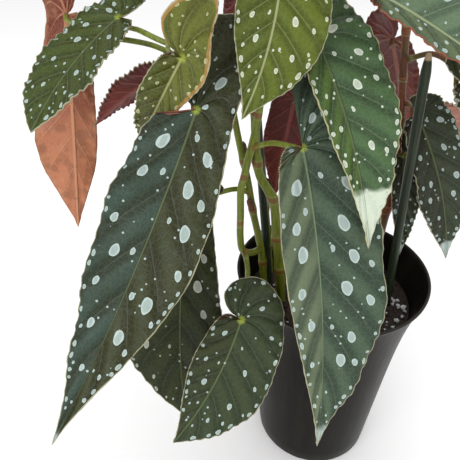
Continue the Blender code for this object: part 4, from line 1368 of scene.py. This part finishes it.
@dataclass
class Stem:
    """One cane with its joints, side shoots, petioles and dry scales."""

    form: CaneForm
    blades: dict[str, Blade]
    scale_length: Place = (0.010, 0.016)
    scale_thickness: float = 0.0003
    scale_reach: float = 0.0036
    scale_flare: float = 0.0030
    scale_rows: int = 7
    scale_columns: int = 6

    def __post_init__(self) -> None:
        """Work out the cane's middle line and the heights of its joints."""
        self.joints = [height * MM for height in self.form.joints]
        self.line = smooth_line(self.form.line, LINE_SPACING)

    def nearness(self, height: float, half_length: float) -> float:
        """How near a height is to one of the cane's joints, from 0 to 1."""
        return max(math.exp(-(((height - joint) / half_length) ** 2)) for joint in self.joints)

    def width(self, point: Vector) -> float:
        """Radius at a point of the cane: its taper, and the swelling at each joint."""
        low, high = self.line[0].z, self.line[-1].z
        share = (point.z - low) / (high - low)
        radius = self.form.foot * MM * (1 + (self.form.top / self.form.foot - 1) * share)
        return radius * (1 + NODE_SWELL * self.nearness(point.z, NODE_HALF_LENGTH))

    def petiole_line(self, petiole: Petiole) -> list[Vector]:
        """From the cane through the petiole's own points to just behind the blade's petiole point.

        Args:
            petiole: the stalk's form.

        Returns:
            Its middle line, in metres.
        """
        blade = self.blades[petiole.leaf]
        forward = (blade.bend - blade.base).normalized()
        out = (blade.face - forward * blade.face.dot(forward)).normalized()
        end = blade.base - out * (BLADE + 0.3 * PETIOLE_GAP)
        before = end - out * PETIOLE_RUN
        return smooth_line(list(petiole.through) + [before / MM, end / MM], SHOOT_SPACING)

    def add_petiole(self, bm: bmesh.types.BMesh, petiole: Petiole, mark: bmesh.types.BMLayerItem) -> None:
        """Add one leaf stalk, thicker at the cane and thinner at the blade.

        Args:
            bm: the cane's mesh.
            petiole: the stalk's form.
            mark: the layer that colours the joints.
        """
        points = self.petiole_line(petiole)
        first = len(bm.verts)
        radii = []
        for index in range(len(points)):
            share = index / (len(points) - 1)
            collar = 1 + PETIOLE_COLLAR * math.exp(-((share / COLLAR_SHARE) ** 2))
            thinner = (PETIOLE_END - 1) * max(0.0, share - 0.7) / 0.3
            radii.append(petiole.radius * MM * collar * (1 + thinner))
        sweep(bm, points, radii, PETIOLE_SIDES)
        bm.verts.ensure_lookup_table()
        for vertex in bm.verts[first:]:
            vertex[mark] = 0.8 * math.exp(-(((vertex.co - points[0]).length / COLLAR_MARK) ** 2))

    def build(self, finishes: Finishes) -> None:
        """The whole cane as one piece, in place of its plain node, and its scales.

        Args:
            finishes: the plant's materials.
        """
        bm = bmesh.new()
        mark = bm.verts.layers.float.new("joint")
        sweep(bm, self.line, [self.width(p) for p in self.line], CANE_SIDES)
        for shoot in self.form.shoots:
            points = smooth_line(shoot, SHOOT_SPACING)
            sweep(bm, points, [SHOOT_RADIUS] * len(points), SHOOT_SIDES)
        for vertex in bm.verts:
            vertex[mark] = self.nearness(vertex.co.z, JOINT_MARK)
        for petiole in self.form.petioles:
            self.add_petiole(bm, petiole, mark)
        bmesh.ops.recalc_face_normals(bm, faces=bm.faces)
        name = self.form.name
        stored(name.replace("cane", "stem"), bm, [finishes.cane(name)], name)
        self.build_scales()

    def build_scales(self) -> None:
        """Thin pointed dry scales that hug the cane above its higher joints."""
        dice = random.Random(self.form.name)
        bm = bmesh.new()
        for joint in self.joints[1:-1]:
            near = min(range(len(self.line)), key=lambda k: abs(self.line[k].z - joint))
            ahead = self.line[min(near + 3, len(self.line) - 1)] - self.line[max(0, near - 3)]
            turn = dice.uniform(0, 2 * math.pi)
            self.add_scale(bm, self.line[near], ahead.normalized(), turn, dice.uniform(*self.scale_length))
        piece = stored(self.form.name.replace("cane", "scales"), bm, [ScaleFinish().build()])
        thickened(piece, self.scale_thickness, 0)

    def add_scale(self, bm: bmesh.types.BMesh, centre: Vector, ahead: Vector, turn: float,
                  length: float) -> None:
        """Add one scale: a pointed sheet curved round the cane, its tip standing a little away.

        Args:
            bm: the mesh that it is added to.
            centre: the cane's middle at the joint.
            ahead: the cane's direction there.
            turn: where round the cane the scale sits, in radians.
            length: how long it is.
        """
        side = Matrix.Rotation(turn, 3, ahead) @ ahead.orthogonal().normalized()
        over = ahead.cross(side)
        grid = []
        for row in range(self.scale_rows + 1):
            share = row / self.scale_rows
            spread = 0.95 * (1 - share) ** 0.7 * (0.55 + 0.9 * share)
            reach = self.scale_reach + self.scale_flare * share * share
            ring = []
            for column in range(self.scale_columns + 1):
                angle = spread * (column / self.scale_columns * 2 - 1)
                away = side * math.cos(angle) + over * math.sin(angle)
                ring.append(bm.verts.new(centre + ahead * length * share + away * reach))
            grid.append(ring)
        for first, second in zip(grid, grid[1:]):
            bridge(bm, first, second, False)
        bmesh.ops.remove_doubles(bm, verts=grid[-1], dist=1e-6)


# Pot

@dataclass(frozen=True)
class NurseryPot:
    """Tall round thin-walled pot that flares out just under its rolled lip."""

    height: float = POT_HEIGHT
    base_radius: float = 0.0475
    rim_radius: float = 0.070
    straight_share: float = 0.66
    flare_power: float = 6.4
    wall: float = 0.0014
    floor: float = 0.0030
    lip_depth: float = 0.0016
    steps: int = 22
    lip_steps: int = 10
    sides: int = 128
    drains: int = 6
    drain_circle: float = 0.032
    drain_radius: float = 0.004
    drain_depth: float = 0.012

    def wall_radius(self, height: float) -> float:
        """Outside radius at a height."""
        share = height / self.height
        spread = self.straight_share * share + (1 - self.straight_share) * share**self.flare_power
        return self.base_radius + (self.rim_radius - self.base_radius) * spread

    def profile(self) -> list[Place]:
        """Half section from the middle of the floor, up the inside, over the lip, and down the outside."""
        top, rim, base = self.height, self.rim_radius, self.base_radius
        rise = top - self.lip_depth - self.floor
        heights = [self.floor + rise * (1 - (1 - i / self.steps) ** 1.5) for i in range(self.steps + 1)]
        inside = [(self.wall_radius(z) - self.wall, z) for z in heights]
        turns = [math.pi * (1 - k / self.lip_steps) for k in range(self.lip_steps + 1)]
        middle = rim - 0.0004
        lip = [(middle + 0.0010 * math.cos(t), top - 0.0009 + 0.0009 * math.sin(t)) for t in turns]
        under = [(rim + 0.0005, top - self.lip_depth), (rim, top - 0.0020)]
        outside = [(self.wall_radius(z), z) for z in reversed(heights[1:-1])]
        foot = [(base, 0.0020), (base - 0.0006, 0.0007), (base - 0.0018, 0.0)]
        dish = [(base - 0.006, 0.0), (base - 0.0070, 0.0006), (0, 0.0006)]
        return [(0, self.floor)] + inside + lip + under + outside + foot + dish

    def build(self, finishes: Finishes) -> None:
        """The pot with its drain holes, in place of its plain node.

        Args:
            finishes: the plant's materials.
        """
        pot = stored("nursery_pot", turned(self.profile(), self.sides), [finishes.pot], "pot")
        bm = bmesh.new()
        for index in range(self.drains):
            turn = 2 * math.pi * (index + 0.5) / self.drains
            place = (self.drain_circle * math.cos(turn), self.drain_circle * math.sin(turn), 0)
            bmesh.ops.create_cone(bm, cap_ends=True, segments=32, radius1=self.drain_radius,
                                  radius2=self.drain_radius, depth=self.drain_depth,
                                  matrix=Matrix.Translation(place))
        drains = linked("drains", meshed("drains", bm))
        cut = pot.modifiers.new("drain holes", "BOOLEAN")
        cut.operation = "DIFFERENCE"
        cut.object = drains
        bpy.context.view_layer.update()
        graph = bpy.context.evaluated_depsgraph_get()
        finished = bpy.data.meshes.new_from_object(pot.evaluated_get(graph))
        pot.modifiers.clear()
        pot.data = finished
        bpy.data.objects.remove(drains, do_unlink=True)


@dataclass(frozen=True)
class Compost:
    """The soil: a filled body with a crumbly top, loose crumbs and white perlite."""

    pot: NurseryPot
    level: float = SOIL_LEVEL
    clearance: float = 0.0006
    lift: float = 0.0003
    rings: int = 52
    side_steps: int = 6
    sides: int = 160
    crumbs: int = 420
    crumb_size: Place = (0.0006, 0.0019)
    grains: int = 170
    grain_size: Place = (0.0011, 0.0028)

    def reach(self, height: float) -> float:
        """Radius of the soil at a height."""
        return self.pot.wall_radius(height) - self.pot.wall - self.clearance

    def surface(self, x: float, y: float) -> float:
        """Height of the crumbly top."""
        place = Vector((x, y, 0))
        coarse = noise.noise(place * 90) * 0.0013
        fine = noise.noise(place * 260 + Vector((5, 3, 1))) * 0.0009
        grit = noise.noise(place * 700) * 0.0004
        return self.level + coarse + fine + grit + 0.0002

    def build(self, finishes: Finishes) -> None:
        """The body, its crumbs and its perlite.

        Args:
            finishes: the plant's materials.
        """
        low, radius = self.pot.floor + self.lift, self.reach(self.level)
        heights = [low + (self.level - low) * i / self.side_steps for i in range(self.side_steps + 1)]
        side = [(self.reach(z), z) for z in reversed(heights)]
        top = [(radius * i / self.rings, self.level) for i in range(self.rings)]
        bm = turned(top + side + [(0, low)], self.sides)
        for vertex in bm.verts:
            if abs(vertex.co.z - self.level) < 1e-6 and vertex.co.to_2d().length < radius - 1e-5:
                vertex.co.z = self.surface(vertex.co.x, vertex.co.y)
        stored("compost", bm, [finishes.soil], "soil")
        self.scatter("crumbs", self.crumbs, self.crumb_size, 5, finishes.soil)
        self.scatter("perlite", self.grains, self.grain_size, 9, finishes.perlite)

    def scatter(self, name: str, count: int, sizes: Place, seed: int, material: bpy.types.Material) -> None:
        """Lay seeded loose grains on the soil.

        Args:
            name: the piece's name.
            count: how many grains.
            sizes: the least and the greatest radius.
            seed: the seed of the draws.
            material: what they are made of.
        """
        dice = random.Random(seed)
        radius = self.reach(self.level)
        bm = bmesh.new()
        for _ in range(count):
            size = dice.uniform(*sizes) * dice.uniform(0.6, 1.0)
            turn = dice.uniform(0, 2 * math.pi)
            away = (radius - size * 1.3 - 0.0005) * math.sqrt(dice.random())
            x, y = away * math.cos(turn), away * math.sin(turn)
            made = bmesh.ops.create_icosphere(bm, subdivisions=1, radius=size)["verts"]
            for vertex in made:
                vertex.co *= dice.uniform(0.7, 1.2)
            bmesh.ops.rotate(bm, verts=made, matrix=Matrix.Rotation(dice.uniform(0, 6.3), 3, "X"))
            bmesh.ops.translate(bm, verts=made, vec=(x, y, self.surface(x, y) + 0.35 * size))
        stored(name, bm, [material])


@dataclass(frozen=True)
class Stake:
    """A straight coated stake with a blunt point at each end; its ends are in millimetres."""

    name: str
    low: Point
    high: Point
    radius: float = 0.0030
    point: float = 0.010
    blunt: float = 0.42
    steps: int = 90
    rib: float = 0.010
    rib_rate: float = 1900
    sides: int = 24

    def build(self, finishes: Finishes) -> None:
        """The rod, in place of its plain node.

        Args:
            finishes: the plant's materials.
        """
        low = millimetres(self.low)
        axis = millimetres(self.high) - low
        length = axis.length
        end = [0.0, 0.002, self.point * 0.6, self.point]
        body = [self.point + (length - 2 * self.point) * k / self.steps for k in range(1, self.steps)]
        tail = [length - self.point, length - 0.6 * self.point, length - 0.002, length]
        points, radii = [], []
        for at in end + body + tail:
            share = min(1.0, self.blunt + 0.58 * (min(at, length - at) / self.point) ** 0.6)
            ribs = 1 + self.rib * math.sin(at * self.rib_rate)
            points.append(low + axis * (at / length))
            radii.append(self.radius * share * ribs * 0.99)
        bm = bmesh.new()
        sweep(bm, points, radii, self.sides)
        bmesh.ops.recalc_face_normals(bm, faces=bm.faces)
        stored(self.name.replace("stake", "support_rod"), bm, [finishes.stake], self.name)


STAKES = (
    Stake("stake_left", (-41, 14, 112), (-62, 17, 326)),
    Stake("stake_right", (44.5, -10, 112), (34, -10, 336)),
)


# Studio

@dataclass(frozen=True)
class Studio:
    """Plain pale floor, soft lights and the camera."""

    floor_half: float = 6.0
    lens: float = 39.58
    sensor: float = 36.0
    viewpoint: Point = (-0.0759, -0.2954, 0.4134)
    tilt: float = 55.59
    sky_strength: float = 0.95
    middle: Point = (-0.03, 0.0, 0.22)
    lamps: tuple = (("window", (-0.9, -1.1, 1.0), 0.9, 9.0),
                    ("front fill", (0.5, -1.4, 0.6), 1.0, 3.5),
                    ("top", (0.2, 0.3, 1.8), 1.2, 8.0))

    def floor(self) -> None:
        """A wide pale floor with a faint even grain."""
        bm = bmesh.new()
        bmesh.ops.create_grid(bm, x_segments=2, y_segments=2, size=self.floor_half)
        floor = linked("floor", meshed("floor", bm))
        graph = Graph("pale floor", (0.92, 0.92, 0.92))
        graph.coat(graph.noise(graph.place(), 40.0, 2.0) * 0.02, (0.86, 0.86, 0.86))
        floor.data.materials.append(graph.finish(0.9, Specular_IOR_Level=0.0))

    def lamp(self, name: str, place: Point, size: float, power: float) -> None:
        """Add a square soft box aimed at the plant's middle.

        Args:
            name: the lamp's name.
            place: where it stands.
            size: its width.
            power: its watts.
        """
        light = bpy.data.lights.new(name, "AREA")
        light.shape = "SQUARE"
        light.size = size
        light.energy = power
        lamp = linked(name, light)
        lamp.location = place
        aim = Vector(self.middle) - Vector(place)
        lamp.rotation_euler = aim.to_track_quat("-Z", "Y").to_euler()

    def sky(self) -> None:
        """Even white surroundings."""
        world = bpy.data.worlds.new("white surroundings")
        world.use_nodes = True
        back = world.node_tree.nodes["Background"]
        back.inputs["Color"].default_value = (1, 1, 1, 1)
        back.inputs["Strength"].default_value = self.sky_strength
        bpy.context.scene.world = world

    def camera(self) -> None:
        """The photograph's viewpoint."""
        lens = bpy.data.cameras.new("camera")
        lens.lens = self.lens
        lens.sensor_width = self.sensor
        lens.clip_start = 0.01
        camera = linked("camera", lens)
        camera.location = self.viewpoint
        camera.rotation_euler = (math.radians(self.tilt), 0, 0)
        bpy.context.scene.camera = camera

    def build(self) -> None:
        """Floor, camera, surroundings and lights."""
        self.floor()
        self.camera()
        self.sky()
        for lamp in self.lamps:
            self.lamp(*lamp)
        scene = bpy.context.scene
        scene.view_settings.view_transform = "Standard"
        scene.view_settings.look = "None"


FINE_STEPS = {"leaf_front_left": 120, "leaf_front_centre": 116, "leaf_lower_left": 96, "leaf_heart": 100,
              "leaf_upper_centre": 96, "leaf_top_right": 96, "leaf_top_centre": 90}
FINE_ROWS = 14
PLAIN_STEPS, PLAIN_ROWS = 72, 10


def build_plant(finishes: Finishes) -> None:
    """Build every piece of the plant and its pot.

    Args:
        finishes: their materials.
    """
    blades = {}
    for number, form in enumerate(LEAVES):
        steps = FINE_STEPS.get(form.name, PLAIN_STEPS)
        rows = FINE_ROWS if form.name in FINE_STEPS else PLAIN_ROWS
        blades[form.name] = Blade(form, number + 1, steps, rows)
    stems = [Stem(form, blades) for form in CANES]
    pot = NurseryPot()
    for piece in (*blades.values(), *stems, pot, Compost(pot), *STAKES):
        piece.build(finishes)


def main() -> None:
    """Dress the plant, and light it."""
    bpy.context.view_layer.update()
    build_plant(Finishes())
    Studio().build()


if __name__ == "__main__":
    main()
